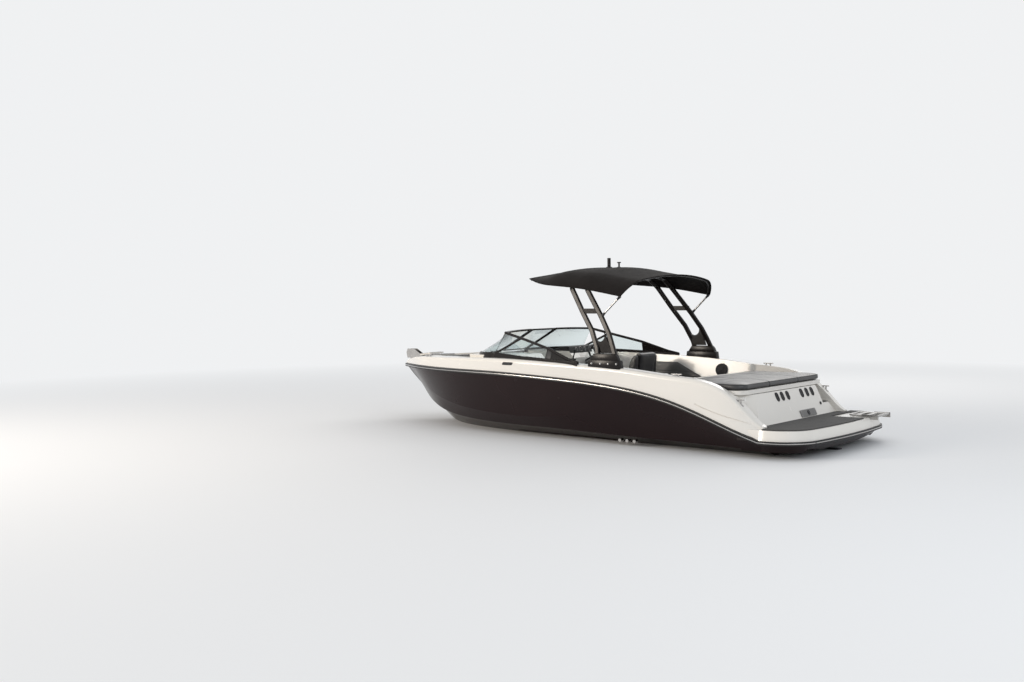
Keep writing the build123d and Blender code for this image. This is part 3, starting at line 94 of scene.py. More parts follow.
def background_rays(tree):
    """1 for the rays that show the background: camera, glossy and transmission."""
    path = tree.nodes.new("ShaderNodeLightPath")
    shown = path.outputs["Is Camera Ray"]
    for ray in ("Is Glossy Ray", "Is Transmission Ray"):
        either = tree.nodes.new("ShaderNodeMath")
        either.operation = "MAXIMUM"
        tree.links.new(shown, either.inputs[0])
        tree.links.new(path.outputs[ray], either.inputs[1])
        shown = either.outputs[0]
    return shown


def set_light():
    for name, place, size, power, colour in LAMPS:
        data = bpy.data.lights.new(name, "AREA")
        data.shape = "DISK"
        data.size = size
        data.energy = power
        data.color = colour
        lamp = bpy.data.objects.new(name, data)
        lamp.location = place
        lamp.rotation_euler = (LAMP_AIM - Vector(place)).to_track_quat("-Z", "Y").to_euler()
        bpy.context.collection.objects.link(lamp)
    world = bpy.data.worlds.new("studio")
    bpy.context.scene.world = world
    world.use_nodes = True
    tree = world.node_tree
    tree.nodes.clear()
    lit = tree.nodes.new("ShaderNodeBackground")
    lit.inputs["Color"].default_value = WORLD_COLOUR
    lit.inputs["Strength"].default_value = WORLD_LIGHT
    seen = tree.nodes.new("ShaderNodeBackground")
    seen.inputs["Color"].default_value = BACKDROP
    mix = tree.nodes.new("ShaderNodeMixShader")
    out = tree.nodes.new("ShaderNodeOutputWorld")
    tree.links.new(background_rays(tree), mix.inputs["Fac"])
    tree.links.new(lit.outputs[0], mix.inputs[1])
    tree.links.new(seen.outputs[0], mix.inputs[2])
    tree.links.new(mix.outputs[0], out.inputs["Surface"])
    bpy.context.scene.view_settings.view_transform = "Standard"


def add_floor():
    paint = Paint("floor", FLOOR_COLOUR, 0.75)
    paint.rough(paint.noise(0.4, 2), 0.7, 0.85)
    paint.set("Specular IOR Level", 0.2)
    tree = paint.tree
    away = paint.node("VectorMath", {0: paint.place}, operation="LENGTH").outputs["Value"]
    far = paint.maths("MULTIPLY", paint.fit(away, 0, 1, *FLOOR_FADES), background_rays(tree))
    glow = paint.node("Emission", {"Color": BACKDROP, "Strength": 1.0})
    mix = paint.node("MixShader", {0: far, 1: paint.shader.outputs[0], 2: glow.outputs[0]})
    tree.links.new(mix.outputs[0], tree.nodes["Material Output"].inputs["Surface"])
    form = bmesh.new()
    bmesh.ops.create_grid(form, x_segments=1, y_segments=1, size=FLOOR_HALF)
    mesh = bpy.data.meshes.new("floor")
    form.to_mesh(mesh)
    form.free()
    mesh.materials.append(paint.material)
    floor = bpy.data.objects.new("floor", mesh)
    bpy.context.collection.objects.link(floor)


# Materials, each with its own nodes


class Paint:
    """One material: a principled shader and short calls that add nodes to it."""

    def __init__(self, name, colour, rough, metal=0.0, **sockets):
        self.material = bpy.data.materials.new(name)
        self.material.use_nodes = True
        self.tree = self.material.node_tree
        self.shader = self.tree.nodes["Principled BSDF"]
        self.colour = (*colour, 1)
        self.set("Base Color", self.colour)
        self.set("Roughness", rough)
        self.set("Metallic", metal)
        for socket, value in sockets.items():
            self.set(socket.replace("_", " "), value)
        self.place = self.tree.nodes.new("ShaderNodeTexCoord").outputs["Object"]

    def set(self, socket, value):
        self.shader.inputs[socket].default_value = value

    def node(self, kind, inputs=None, **settings):
        made = self.tree.nodes.new(f"ShaderNode{kind}")
        for key, value in settings.items():
            setattr(made, key, value)
        for socket, value in (inputs or {}).items():
            if isinstance(value, bpy.types.NodeSocket):
                self.tree.links.new(value, made.inputs[socket])
            else:
                made.inputs[socket].default_value = value
        return made

    def noise(self, scale, detail=3):
        return self.node("TexNoise", {"Vector": self.place, "Scale": scale,
                                      "Detail": detail}).outputs["Fac"]

    def cells(self, scale, feature="F1"):
        return self.node("TexVoronoi", {"Vector": self.place, "Scale": scale},
                         feature=feature).outputs["Distance"]

    def ridges(self, scale, axis="X"):
        return self.node("TexWave", {"Vector": self.place, "Scale": scale},
                         bands_direction=axis).outputs["Fac"]

    def fit(self, value, low, high, from_low=0.0, from_high=1.0):
        return self.node("MapRange", {"Value": value, "From Min": from_low, "From Max": from_high,
                                      "To Min": low, "To Max": high}).outputs["Result"]

    def maths(self, operation, first, second):
        return self.node("Math", {0: first, 1: second}, operation=operation).outputs[0]

    def tint(self, mask, colour):
        """Another colour where the mask is high."""
        base = self.shader.inputs["Base Color"]
        under = base.links[0].from_socket if base.is_linked else self.colour
        mix = self.node("Mix", {0: mask, 6: under, 7: (*colour, 1)}, data_type="RGBA")
        self.tree.links.new(mix.outputs[2], base)

    def rough(self, value, low, high):
        self.tree.links.new(self.fit(value, low, high), self.shader.inputs["Roughness"])

    def bump(self, height, strength, distance):
        made = self.node("Bump", {"Height": height, "Strength": strength, "Distance": distance})
        normal = self.shader.inputs["Normal"]
        if normal.is_linked:
            self.tree.links.new(normal.links[0].from_socket, made.inputs["Normal"])
        self.tree.links.new(made.outputs["Normal"], normal)


def gelcoat(name, colour, shade, grain, coat=0.4, specular=0.5):
    """Polished moulding with faint ripples, dust and a clear coat."""
    paint = Paint(name, colour, 0.2, Coat_Weight=coat, Coat_Roughness=0.08, Specular_IOR_Level=specular)
    broad = paint.noise(1.3, 2)
    paint.tint(paint.fit(broad, 0, 0.5, 0.45, 0.75), shade)
    paint.tint(paint.fit(paint.noise(900, 1), 0, grain, 0.62, 0.72), tuple(c * 0.5 for c in colour))
    paint.rough(paint.noise(6, 4), 0.16, 0.32)
    paint.bump(broad, 0.05, 0.02)
    return paint.material


def leather(name, colour, shade, rough=0.42):
    """Marine vinyl with a pebbled grain and soft rubbed patches."""
    paint = Paint(name, colour, rough, Sheen_Weight=0.06, Specular_IOR_Level=0.5)
    patches = paint.noise(5, 3)
    grain = paint.cells(420, "SMOOTH_F1")
    paint.tint(paint.fit(patches, 0, 0.7, 0.42, 0.7), shade)
    paint.tint(paint.fit(grain, 0, 0.5, 0.35, 0.8), tuple(c * 0.55 for c in colour))
    paint.rough(patches, rough - 0.08, rough + 0.12)
    paint.bump(grain, 0.35, 0.0008)
    paint.bump(paint.noise(38, 2), 0.12, 0.004)
    return paint.material


def metal(name, colour, rough, brushed=320):
    """Bare or polished metal with fine drawn lines."""
    paint = Paint(name, colour, rough, 1.0)
    lines = paint.noise(brushed, 2)
    paint.rough(lines, max(0.05, rough - 0.08), rough + 0.12)
    paint.tint(paint.fit(paint.noise(11, 3), 0, 0.4, 0.5, 0.8), tuple(c * 0.72 for c in colour))
    paint.bump(lines, 0.04, 0.0005)
    return paint.material


def coated(name, colour, rough, metal_share=0.0, speckle=1400, specular=0.3):
    """Powder coat or moulded plastic with a fine speckle."""
    paint = Paint(name, colour, rough, metal_share, Specular_IOR_Level=specular)
    speck = paint.noise(speckle, 1)
    paint.tint(paint.fit(speck, 0, 0.45, 0.5, 0.7), tuple(min(1, c * 1.5 + 0.002) for c in colour))
    paint.rough(paint.noise(9, 3), rough - 0.07, rough + 0.1)
    paint.bump(speck, 0.18, 0.0004)
    return paint.material


def foam(name, colour, fleck):
    """Closed-cell deck foam with a brushed face."""
    paint = Paint(name, colour, 0.85)
    grain = paint.noise(700, 2)
    paint.tint(paint.fit(grain, 0, 0.6, 0.45, 0.7), fleck)
    paint.rough(paint.noise(4, 2), 0.75, 0.95)
    paint.bump(grain, 0.4, 0.0008)
    return paint.material


def canvas(name, colour, thread):
    """Woven acrylic: two crossed rows of threads and slow fading."""
    paint = Paint(name, colour, 0.85, Sheen_Weight=0.03, Sheen_Roughness=0.5, Specular_IOR_Level=0.15)
    weave = paint.maths("MULTIPLY", paint.ridges(170, "X"), paint.ridges(170, "Y"))
    paint.tint(paint.fit(paint.noise(2.2, 3), 0, 0.6, 0.4, 0.75), thread)
    paint.tint(paint.fit(weave, 0, 0.5), thread)
    paint.rough(paint.noise(7, 2), 0.78, 0.95)
    paint.bump(weave, 0.4, 0.0012)
    return paint.material


def clear_glass(name, colour):
    paint = Paint(name, colour, 0.02, Transmission_Weight=1.0, IOR=1.45)
    paint.rough(paint.noise(3, 3), 0.0, 0.05)
    paint.tint(paint.fit(paint.noise(1.7, 2), 0, 0.25, 0.5, 0.8), tuple(c * 0.9 for c in colour))
    return paint.material


FINISH = {
    "gelcoat_black": gelcoat("gelcoat_black", (0.012, 0.0052, 0.0058), (0.017, 0.008, 0.008), 0.1,
                             0.06, 0.16),
    "gelcoat_white": gelcoat("gelcoat_white", (0.80, 0.765, 0.71), (0.76, 0.725, 0.67), 0.12),
    "rail_vinyl": coated("rail_vinyl", (0.010, 0.009, 0.009), 0.45),
    "deck_mat": foam("deck_mat", (0.075, 0.072, 0.07), (0.14, 0.135, 0.13)),
    "foam_pad": foam("foam_pad", (0.035, 0.034, 0.034), (0.075, 0.073, 0.07)),
    "stainless": metal("stainless", (0.44, 0.43, 0.42), 0.22),
    "dark_aluminium": coated("dark_aluminium", (0.009, 0.007, 0.0065), 0.24, specular=0.2),
    "glass": clear_glass("glass", (0.83, 0.9, 0.9)),
    "canopy_fabric": canvas("canopy_fabric", (0.0085, 0.0066, 0.006), (0.017, 0.0135, 0.0125)),
    "dark_vinyl": leather("dark_vinyl", (0.032, 0.031, 0.032), (0.045, 0.044, 0.045), 0.36),
    "grey_vinyl": leather("grey_vinyl", (0.10, 0.097, 0.092), (0.125, 0.120, 0.113)),
    "cast_engine": coated("cast_engine", (0.06, 0.06, 0.062), 0.55, 0.5, 600),
    "black_plastic": coated("black_plastic", (0.024, 0.024, 0.026), 0.45),
    "grey_plastic": coated("grey_plastic", (0.17, 0.165, 0.16), 0.45),
    "drive_paint": coated("drive_paint", (0.028, 0.028, 0.030), 0.36, 0.2),
    "drive_metal": metal("drive_metal", (0.60, 0.60, 0.62), 0.26),
}


def dress_solids():
    """Each solid gets the finish that its slot in the record names."""
    for part in frame["record"]["subparts"]:
        solid = NODES[part["node"]]
        solid.data.materials.clear()
        solid.data.materials.append(FINISH[part["material_slot"]])


# Mesh helpers

WELD = 1e-5
AXES = {"X": Vector((1, 0, 0)), "Y": Vector((0, 1, 0)), "Z": UP}
AHEAD, PORT, DOWN = AXES["X"], AXES["Y"], -UP


def spread(low, high, count):
    """Evenly spaced values from one to another, both included."""
    return [low + (high - low) * step / (count - 1) for step in range(count)]


def solid_form(node):
    """Editable copy of a solid, its split corners joined again."""
    form = bmesh.new()
    form.from_mesh(NODES[node].data)
    bmesh.ops.remove_doubles(form, verts=form.verts, dist=WELD)
    return form


def surface_of(node):
    form = solid_form(node)
    tree = BVHTree.FromBMesh(form)
    form.free()
    return tree


def add_piece(name, form, finish, body="boat", replaces=(), sharp=35):
    """Object from a mesh form, riding on a body, with its finish's slot."""
    mesh = bpy.data.meshes.new(name)
    form.to_mesh(mesh)
    form.free()
    mesh.materials.append(FINISH[finish] if isinstance(finish, str) else finish)
    for face in mesh.polygons:
        face.use_smooth = True
    mesh.set_sharp_from_angle(angle=radians(sharp))
    piece = bpy.data.objects.new(name, mesh)
    bpy.context.collection.objects.link(piece)
    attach(piece, body)
    if replaces:
        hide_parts(*replaces)
    return piece


def merge(form, made):
    """Adds one mesh form to another and frees it."""
    mesh = bpy.data.meshes.new("part")
    made.to_mesh(mesh)
    made.free()
    form.from_mesh(mesh)
    bpy.data.meshes.remove(mesh)


def add_circle(form, centre, side, other, radius, steps):
    """Verts on a circle in the plane of two directions."""
    turns = [2 * pi * step / steps for step in range(steps)]
    return [form.verts.new(centre + radius * (cos(t) * side + sin(t) * other)) for t in turns]


def join_rings(form, rings, closed=False):
    """Quads from ring to ring, capped at both ends unless the last ring meets the first."""
    pairs = list(zip(rings, rings[1:]))
    if closed:
        pairs.append((rings[-1], rings[0]))
    for low, high in pairs:
        for step in range(len(low)):
            after = (step + 1) % len(low)
            form.faces.new((low[step], low[after], high[after], high[step]))
    if not closed:
        form.faces.new(list(reversed(rings[0])))
        form.faces.new(rings[-1])


def add_tube(form, points, radius, sides=10, closed=False):
    """Round tube through the points, capped where it ends."""
    points = [Vector(p) for p in points]
    count = len(points)
    side = None
    rings = []
    for index, point in enumerate(points):
        if closed:
            along = points[(index + 1) % count] - points[index - 1]
        else:
            along = points[min(index + 1, count - 1)] - points[max(index - 1, 0)]
        along.normalize()
        side = side or along.orthogonal()
        side = (side - along * side.dot(along)).normalized()
        rings.append(add_circle(form, point, side, along.cross(side), radius, sides))
    join_rings(form, rings, closed)


def add_ring(form, at, radius, lift, thick, steps, sides):
    """Round tube bent into a circle that lies lifted over the plane of a matrix."""
    turns = [2 * pi * step / steps for step in range(steps)]
    points = [at @ Vector((radius * cos(t), radius * sin(t), lift)) for t in turns]
    add_tube(form, points, thick, sides, closed=True)


def add_turned(form, profile, centre, axis=UP, steps=24):
    """Turned form: (radius, height) rings along an axis, closed at both ends."""
    axis = Vector(axis).normalized()
    side = axis.orthogonal().normalized()
    centre = Vector(centre)
    join_rings(form, [add_circle(form, centre + axis * height, side, axis.cross(side), radius, steps)
                      for radius, height in profile])


def add_block(form, low, high, bevel=0.0, turn=None):
    """Box between two corners, its edges rounded, then placed by a matrix."""
    middle = (Vector(low) + Vector(high)) / 2
    size = Vector(high) - Vector(low)
    made = bmesh.new()
    bmesh.ops.create_cube(made, size=1, matrix=Matrix.Translation(middle) @ Matrix.Diagonal((*size, 1)))
    if bevel:
        bmesh.ops.bevel(made, geom=made.edges[:], offset=bevel, segments=3, affect="EDGES", profile=0.5)
    if turn:
        bmesh.ops.transform(made, matrix=turn, verts=made.verts)
    merge(form, made)


def placed(origin, across, out):
    """Matrix whose X runs across, Z out of a face and Y up along it."""
    out = Vector(out).normalized()
    across = (Vector(across) - out * Vector(across).dot(out)).normalized()
    up = out.cross(across)
    return Matrix.Translation(origin) @ Matrix((across, up, out)).transposed().to_4x4()


# Cushions: cut from their solid, drawn in, filled by pressure, then sewn

CUSHION_STEPS = 20
CUSHION_PRESSURE = 4.0
CHANNEL_HALF = 0.009
PIPING_R = 0.0045
FAR = 9.0
Cushion = namedtuple("Cushion", "piece cap finish body replaces seams piping rests")
waiting = []


def above(axis, value):
    """Plane, a point and its outward normal, that keeps what lies over a value on an axis."""
    return AXES[axis] * value, -AXES[axis]


def below(axis, value):
    return AXES[axis] * value, AXES[axis]


def beyond(x=-FAR, z=-FAR):
    """Box of all that lies past a lowest x or z."""
    return (x, -FAR, z), (FAR, FAR, FAR)


def seam_rows(axis, values, depth, box=None):
    """Seams square to an axis at each value, pressed in by a depth inside a box."""
    return [(AXES[axis] * value, AXES[axis], depth, box) for value in values]


def cut_solid(node, planes):
    """What of a solid lies behind every plane, capped."""
    form = solid_form(node)
    for point, normal in planes:
        geom = form.verts[:] + form.edges[:] + form.faces[:]
        bmesh.ops.bisect_plane(form, geom=geom, plane_co=point, plane_no=normal, clear_outer=True)
        rim = [edge for edge in form.edges if edge.is_boundary]
        bmesh.ops.holes_fill(form, edges=rim)
    return form


def cut_across(form, faces, point, normal, dist):
    """New edges where a plane crosses some faces of a form."""
    edges = dict.fromkeys(edge for face in faces for edge in face.edges)
    verts = dict.fromkeys(vert for face in faces for vert in face.verts)
    bmesh.ops.bisect_plane(form, geom=[*verts, *edges, *faces], dist=dist, plane_co=point, plane_no=normal)


def voxel_mesh(form, size):
    """The form remeshed evenly, as a mesh."""
    mesh = bpy.data.meshes.new("rough")
    form.to_mesh(mesh)
    form.free()
    rough = bpy.data.objects.new("rough", mesh)
    bpy.context.collection.objects.link(rough)
    remesh = rough.modifiers.new("even", "REMESH")
    remesh.mode = "VOXEL"
    remesh.voxel_size = size
    even = bpy.data.meshes.new_from_object(rough.evaluated_get(bpy.context.evaluated_depsgraph_get()))
    bpy.data.objects.remove(rough)
    bpy.data.meshes.remove(mesh)
    return even


def prepare_cushion(name, form, voxel, finish="dark_vinyl", body="boat", replaces=(), seams=(), piping=(),
                    rests=(), inset=0.006, cap=0.012, rounds=4):
    """Drawn-in even mesh, kept until every cushion is filled in one run."""
    mesh = voxel_mesh(form, voxel)
    form = bmesh.new()
    form.from_mesh(mesh)
    for _ in range(rounds):
        bmesh.ops.smooth_vert(form, verts=form.verts, factor=0.5, use_axis_x=True, use_axis_y=True,
                              use_axis_z=True)
    form.normal_update()
    for vert in form.verts:
        vert.co -= vert.normal * inset
    form.to_mesh(mesh)
    form.free()
    piece = bpy.data.objects.new(name, mesh)
    bpy.context.collection.objects.link(piece)
    waiting.append(Cushion(piece, cap, finish, body, replaces, seams, piping, rests))


def fill_cushions():
    """Cloth pressure on every waiting cushion, each point held within its cap."""
    scene = bpy.context.scene
    for cushion in waiting:
        cloth = cushion.piece.modifiers.new("cloth", "CLOTH")
        cloth.settings.use_pressure = True
        cloth.settings.uniform_pressure_force = CUSHION_PRESSURE
        cloth.settings.effector_weights.gravity = 0
        cloth.point_cache.frame_end = CUSHION_STEPS
    for step in range(1, CUSHION_STEPS + 1):
        scene.frame_set(step)
    for cushion in waiting:
        ready = cushion.piece.evaluated_get(bpy.context.evaluated_depsgraph_get())
        moved = [vert.co.copy() for vert in ready.data.vertices]
        cushion.piece.modifiers.clear()
        for vert, end in zip(cushion.piece.data.vertices, moved):
            push = end - vert.co
            if push.length > cushion.cap:
                push *= cushion.cap / push.length
            vert.co += push
    scene.frame_set(1)


def sew(form, seams):
    """Sewn channels: exact edges along each plane, pressed in. A seam is (point, normal, depth, box)."""
    for point, normal, depth, box in seams:
        for share in spread(-1, 1, 5):
            faces = [face for face in form.faces if inside(face.calc_center_median(), box)]
            cut_across(form, faces, point + normal * share * CHANNEL_HALF, normal, WELD)
    form.normal_update()
    for point, normal, depth, box in seams:
        for vert in form.verts:
            away = abs((vert.co - point).dot(normal))
            if away < CHANNEL_HALF and inside(vert.co, box):
                vert.co -= vert.normal * depth * (1 - (away / CHANNEL_HALF) ** 2)


def inside(point, box):
    if box is None:
        return True
    return all(low <= value <= high for low, value, high in zip(box[0], point, box[1]))


def rim_loop(form, point, normal):
    """Ordered points of the longest line along which a plane cuts a closed form."""
    form = form.copy()
    cut = bmesh.ops.bisect_plane(form, geom=form.verts[:] + form.edges[:] + form.faces[:], plane_co=point,
                                 plane_no=normal, dist=1e-6)
    edges = dict.fromkeys(item for item in cut["geom_cut"] if isinstance(item, bmesh.types.BMEdge))
    loops = []
    while edges:
        edge = next(iter(edges))
        del edges[edge]
        first, last = edge.verts
        loop = [first, last]
        while last is not first:
            after = next((e for e in last.link_edges if e in edges), None)
            if after is None:
                break
            del edges[after]
            last = after.other_vert(last)
            loop.append(last)
        loops.append([vert.co.copy() for vert in loop[:-1]])
    form.free()
    return max(loops, key=len)


def finish_cushions():
    """Subdivide, sew, rest on what is beneath, and hand over each filled cushion."""
    fill_cushions()
    for cushion in waiting:
        smooth = cushion.piece.modifiers.new("round", "SUBSURF")
        smooth.levels = smooth.render_levels = 1
        ready = cushion.piece.evaluated_get(bpy.context.evaluated_depsgraph_get())
        form = bmesh.new()
        form.from_mesh(ready.to_mesh())
        ready.to_mesh_clear()
        name = cushion.piece.name
        mesh = cushion.piece.data
        bpy.data.objects.remove(cushion.piece)
        bpy.data.meshes.remove(mesh)
        sew(form, cushion.seams)
        for number, (point, normal) in enumerate(cushion.piping, 1):
            welt = bmesh.new()
            add_tube(welt, rim_loop(form, point, normal)[::2], PIPING_R, 6, closed=True)
            add_piece(f"{name}_piping_{number}", welt, "black_plastic", cushion.body)
        for point, normal in cushion.rests:
            for vert in form.verts:
                over = (vert.co - point).dot(normal)
                if over > 0:
                    vert.co -= normal * over
        piece = add_piece(name, form, cushion.finish, cushion.body, replaces=cushion.replaces, sharp=60)


# Soft goods: voxel sizes, seams and the places where one solid becomes several cushions

SUNPAD_VOXEL, SEAT_VOXEL, PANEL_VOXEL = 0.020, 0.0125, 0.011
BENCH_VOXEL, BENCH_BACK_VOXEL, BOW_VOXEL = 0.019, 0.016, 0.018
PANEL_SEAM, CROSS_SEAM, SEAT_SEAM, BACK_SEAM, FLAT_SEAM = 0.011, 0.007, 0.006, 0.005, 0.003
SUNPAD_PANEL_Y = 0.36
SUNPAD_CROSS_X = (-1.93, -2.12, -2.31)
SUNPAD_BORDER, SUNPAD_WELT_DROP = 0.12, 0.018
SEAT_ORIGINS = {"helm_seat": Vector((-0.13, -0.52, 0.56)), "companion_seat": Vector((-0.13, 0.52, 0.56))}
SEAT_BODIES = {"helm_seat": "helm_chair", "companion_seat": "companion_chair"}
BOLSTER_Y = 0.188
SEAT_UNDER_Z = 0.45
BACK_JOIN = Vector((-0.235, 0, -0.06)), Vector((-0.507, 0, 0.862))
PAN_SEAMS_X, BACK_SEAMS_Z = (-0.03, 0.09, 0.21), (0.10, 0.20, 0.30)
SWIVEL_PROFILE = [(0.14, 0), (0.145, 0.002), (0.145, 0.012), (0.10, 0.016), (0.10, 0.022)]
PLATE_LOW, PLATE_HIGH = Vector((-0.19, -0.2, -0.116)), Vector((0.23, 0.2, -0.10))
BENCH_PANEL_Y = 0.36
BENCH_BANDS = [(-FAR, -BENCH_PANEL_Y), (-BENCH_PANEL_Y, BENCH_PANEL_Y), (BENCH_PANEL_Y, FAR)]
BENCH_JOIN_X = -1.517
BENCH_BACK_Z, BENCH_BACK_SEAM_Z = 0.74, 0.62
BENCH_SEAMS_X, BENCH_SEAM_DROP = (-1.4, -1.28, -1.19), 0.3
BOW_SPLIT_Y, BOW_FORE_X = 0.27, 2.19
BOW_SEAMS_X, BOW_BACK_SEAMS_X = (1.66, 1.84, 2.02, 2.36), (1.75, 1.97, 2.5)
BOW_SEAM_RISE = 0.06
PANEL_SEAM_Z = 0.72


def make_sunpad():
    low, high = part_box("sunpad")
    inner = ((low.x + SUNPAD_BORDER, low.y + SUNPAD_BORDER, high.z - 0.03),
             (high.x - SUNPAD_BORDER, high.y - SUNPAD_BORDER, FAR))
    seams = seam_rows("Y", (-SUNPAD_PANEL_Y, SUNPAD_PANEL_Y), PANEL_SEAM)
    seams += seam_rows("X", SUNPAD_CROSS_X, CROSS_SEAM, inner)
    prepare_cushion("sunpad_cushion", solid_form("sunpad"), SUNPAD_VOXEL, body="hatch", replaces=("sunpad",),
                    seams=seams, rests=[above("Z", low.z)], piping=[below("Z", high.z - SUNPAD_WELT_DROP)])


def make_swivel_seat(node):
    """Bucket seat: pan, back and two bolsters over a swivel plate."""
    at, body = SEAT_ORIGINS[node], SEAT_BODIES[node]
    join, lean = at + BACK_JOIN[0], BACK_JOIN[1]
    port, starboard = at + PORT * BOLSTER_Y, at - PORT * BOLSTER_Y
    under = above("Z", SEAT_UNDER_Z)
    middle = [(port, PORT), (starboard, -PORT), under]
    prepare_cushion(f"{node}_pan", cut_solid(node, [*middle, (join, lean)]), SEAT_VOXEL, body=body,
                    seams=seam_rows("X", [at.x + x for x in PAN_SEAMS_X], SEAT_SEAM, beyond(z=at.z - 0.04)),
                    replaces=(node,))
    prepare_cushion(f"{node}_back", cut_solid(node, [*middle, (join, -lean)]), SEAT_VOXEL, body=body,
                    seams=seam_rows("Z", [at.z + z for z in BACK_SEAMS_Z], SEAT_SEAM, beyond(x=at.x - 0.24)))
    for word, outer in (("port", (port, -PORT)), ("starboard", (starboard, PORT))):
        prepare_cushion(f"{node}_{word}_bolster", cut_solid(node, [outer, under]), SEAT_VOXEL, body=body,
                        inset=0.004)
    form = bmesh.new()
    add_turned(form, SWIVEL_PROFILE, (at.x, at.y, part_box(node)[0].z))
    add_block(form, at + PLATE_LOW, at + PLATE_HIGH, 0.004)
    add_piece(f"{node}_plate", form, "black_plastic", body)


def make_bench():
    low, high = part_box("bench_cushions")
    rests = [above("Z", low.z)]
    for number, (from_y, to_y) in enumerate(BENCH_BANDS, 1):
        sides = [above("Y", from_y), below("Y", to_y)]
        seat = cut_solid("bench_cushions", [*sides, above("X", BENCH_JOIN_X)])
        back = cut_solid("bench_cushions", [*sides, below("X", BENCH_JOIN_X), below("Z", BENCH_BACK_Z)])
        prepare_cushion(f"bench_seat_{number}", seat, BENCH_VOXEL, rests=rests,
                        replaces=("bench_cushions",) if number == 1 else (),
                        seams=seam_rows("X", BENCH_SEAMS_X, SEAT_SEAM, beyond(z=high.z - BENCH_SEAM_DROP)))
        prepare_cushion(f"bench_back_{number}", back, BENCH_BACK_VOXEL, rests=rests, inset=0.004,
                        seams=seam_rows("Z", (BENCH_BACK_SEAM_Z,), BACK_SEAM))


def make_bow_seats():
    floor_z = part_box("bow_cushion")[0].z
    parts = {
        "port": [above("Y", BOW_SPLIT_Y), below("X", BOW_FORE_X)],
        "starboard": [below("Y", -BOW_SPLIT_Y), below("X", BOW_FORE_X)],
        "fore": [above("X", BOW_FORE_X)],
    }
    for word, planes in parts.items():
        first = word == "port"
        prepare_cushion(f"bow_seat_{word}", cut_solid("bow_cushion", planes), BOW_VOXEL,
                        rests=[above("Z", floor_z)], replaces=("bow_cushion",) if first else (),
                        seams=seam_rows("X", BOW_SEAMS_X, SEAT_SEAM, beyond(z=floor_z + BOW_SEAM_RISE)))
        prepare_cushion(f"bow_back_{word}", cut_solid("bow_backrest", planes), BOW_VOXEL, inset=0.005,
                        replaces=("bow_backrest",) if first else (),
                        seams=seam_rows("X", BOW_BACK_SEAMS_X, SEAT_SEAM))


def make_side_panels():
    for word, half in (("port", above("Y", 0)), ("starboard", below("Y", 0))):
        prepare_cushion(f"side_panel_{word}", cut_solid("side_panels", [half]), PANEL_VOXEL,
                        finish="grey_vinyl", inset=0.002, cap=0.005, rounds=2,
                        replaces=("side_panels",) if word == "port" else (),
                        seams=seam_rows("Z", (PANEL_SEAM_Z,), FLAT_SEAM))


# Canopy: one curved sheet over its bows, its aft edge raked

CANOPY_STEPS_X, CANOPY_STEPS_Y = 64, 88
CANOPY_EYE_Z = 1.45
CANOPY_CAST = 3.0
CANOPY_SAG, CANOPY_SAG_REACH = 0.010, 0.18
CANOPY_RIPPLE, CANOPY_RIPPLES = 0.0015, 31
CANOPY_BOWS = (0.46, -0.02, -0.50)
CANOPY_CLOTH = 0.0025
CANOPY_INSET = 0.003
CANOPY_HOLE_TURN = 0.07
CANOPY_FULL_X = -1.018
RAKE_FOOT, RAKE_SLOPE = (-1.022, 1.714), 2 / 3
FORE_FLAT_X, FORE_FLAT_LONG, FORE_LIFT, FORE_POWER = 0.0, 0.5, 0.022, 1.5
BOW_R, BOW_DROP, BOW_DRAW_IN, HEM_R = 0.009, 0.014, 0.006, 0.0045
POSTS = [(-0.164, 0.022), (-0.316, 0.011)]  # x and radius of what stands up through the sheet


def canopy_reach(tree, x):
    """Angle from the crown at which the canopy's side edge lies."""
    centre = Vector((max(x, CANOPY_FULL_X), 0, CANOPY_EYE_Z))
    reaches = []
    for side in (1, -1):
        low, high = 0.3, 1.9
        for _ in range(20):
            middle = (low + high) / 2
            way = Vector((0, side * sin(middle), cos(middle)))
            if tree.ray_cast(centre + way * CANOPY_CAST, -way, CANOPY_CAST)[0] is None:
                high = middle
            else:
                low = middle
        reaches.append(low)
    return min(reaches) - 0.004


def canopy_point(tree, x, turn, drop=0.0):
    """Point under the canopy's outer face, drop deep, at an angle from the crown."""
    way = Vector((0, sin(turn), cos(turn)))
    for step in range(5):
        centre = Vector((x + 0.006 * step, 0, CANOPY_EYE_Z))
        hit = tree.ray_cast(centre + way * CANOPY_CAST, -way, CANOPY_CAST)[0]
        if hit is not None:
            return Vector((x, hit.y, hit.z)) - way * drop
    beside = [canopy_point(tree, x, side * CANOPY_HOLE_TURN) for side in (-1, 1)]
    return (beside[0] + beside[1]) / 2 - way * drop


def raked_end(tree, share, reach):
    """X of the aft edge in one column of the sheet."""
    x = RAKE_FOOT[0]
    for _ in range(4):
        z = canopy_point(tree, x, share * reach).z
        x = RAKE_FOOT[0] - max(0.0, z - RAKE_FOOT[1]) * RAKE_SLOPE
    return x + CANOPY_INSET


def flatten_fore(row):
    """The fore edge hangs nearly straight from its crown to its corners."""
    crown, corner = row[len(row) // 2].z, row[0].z
    for j, point in enumerate(row):
        share = abs(2 * j / (len(row) - 1) - 1)
        weight = max(0.0, min(1.0, (point.x - FORE_FLAT_X) / FORE_FLAT_LONG))
        weight = weight * weight * (3 - 2 * weight)
        edge = corner + FORE_LIFT * weight
        point.z += weight * (crown - (crown - edge) * share ** FORE_POWER - point.z)


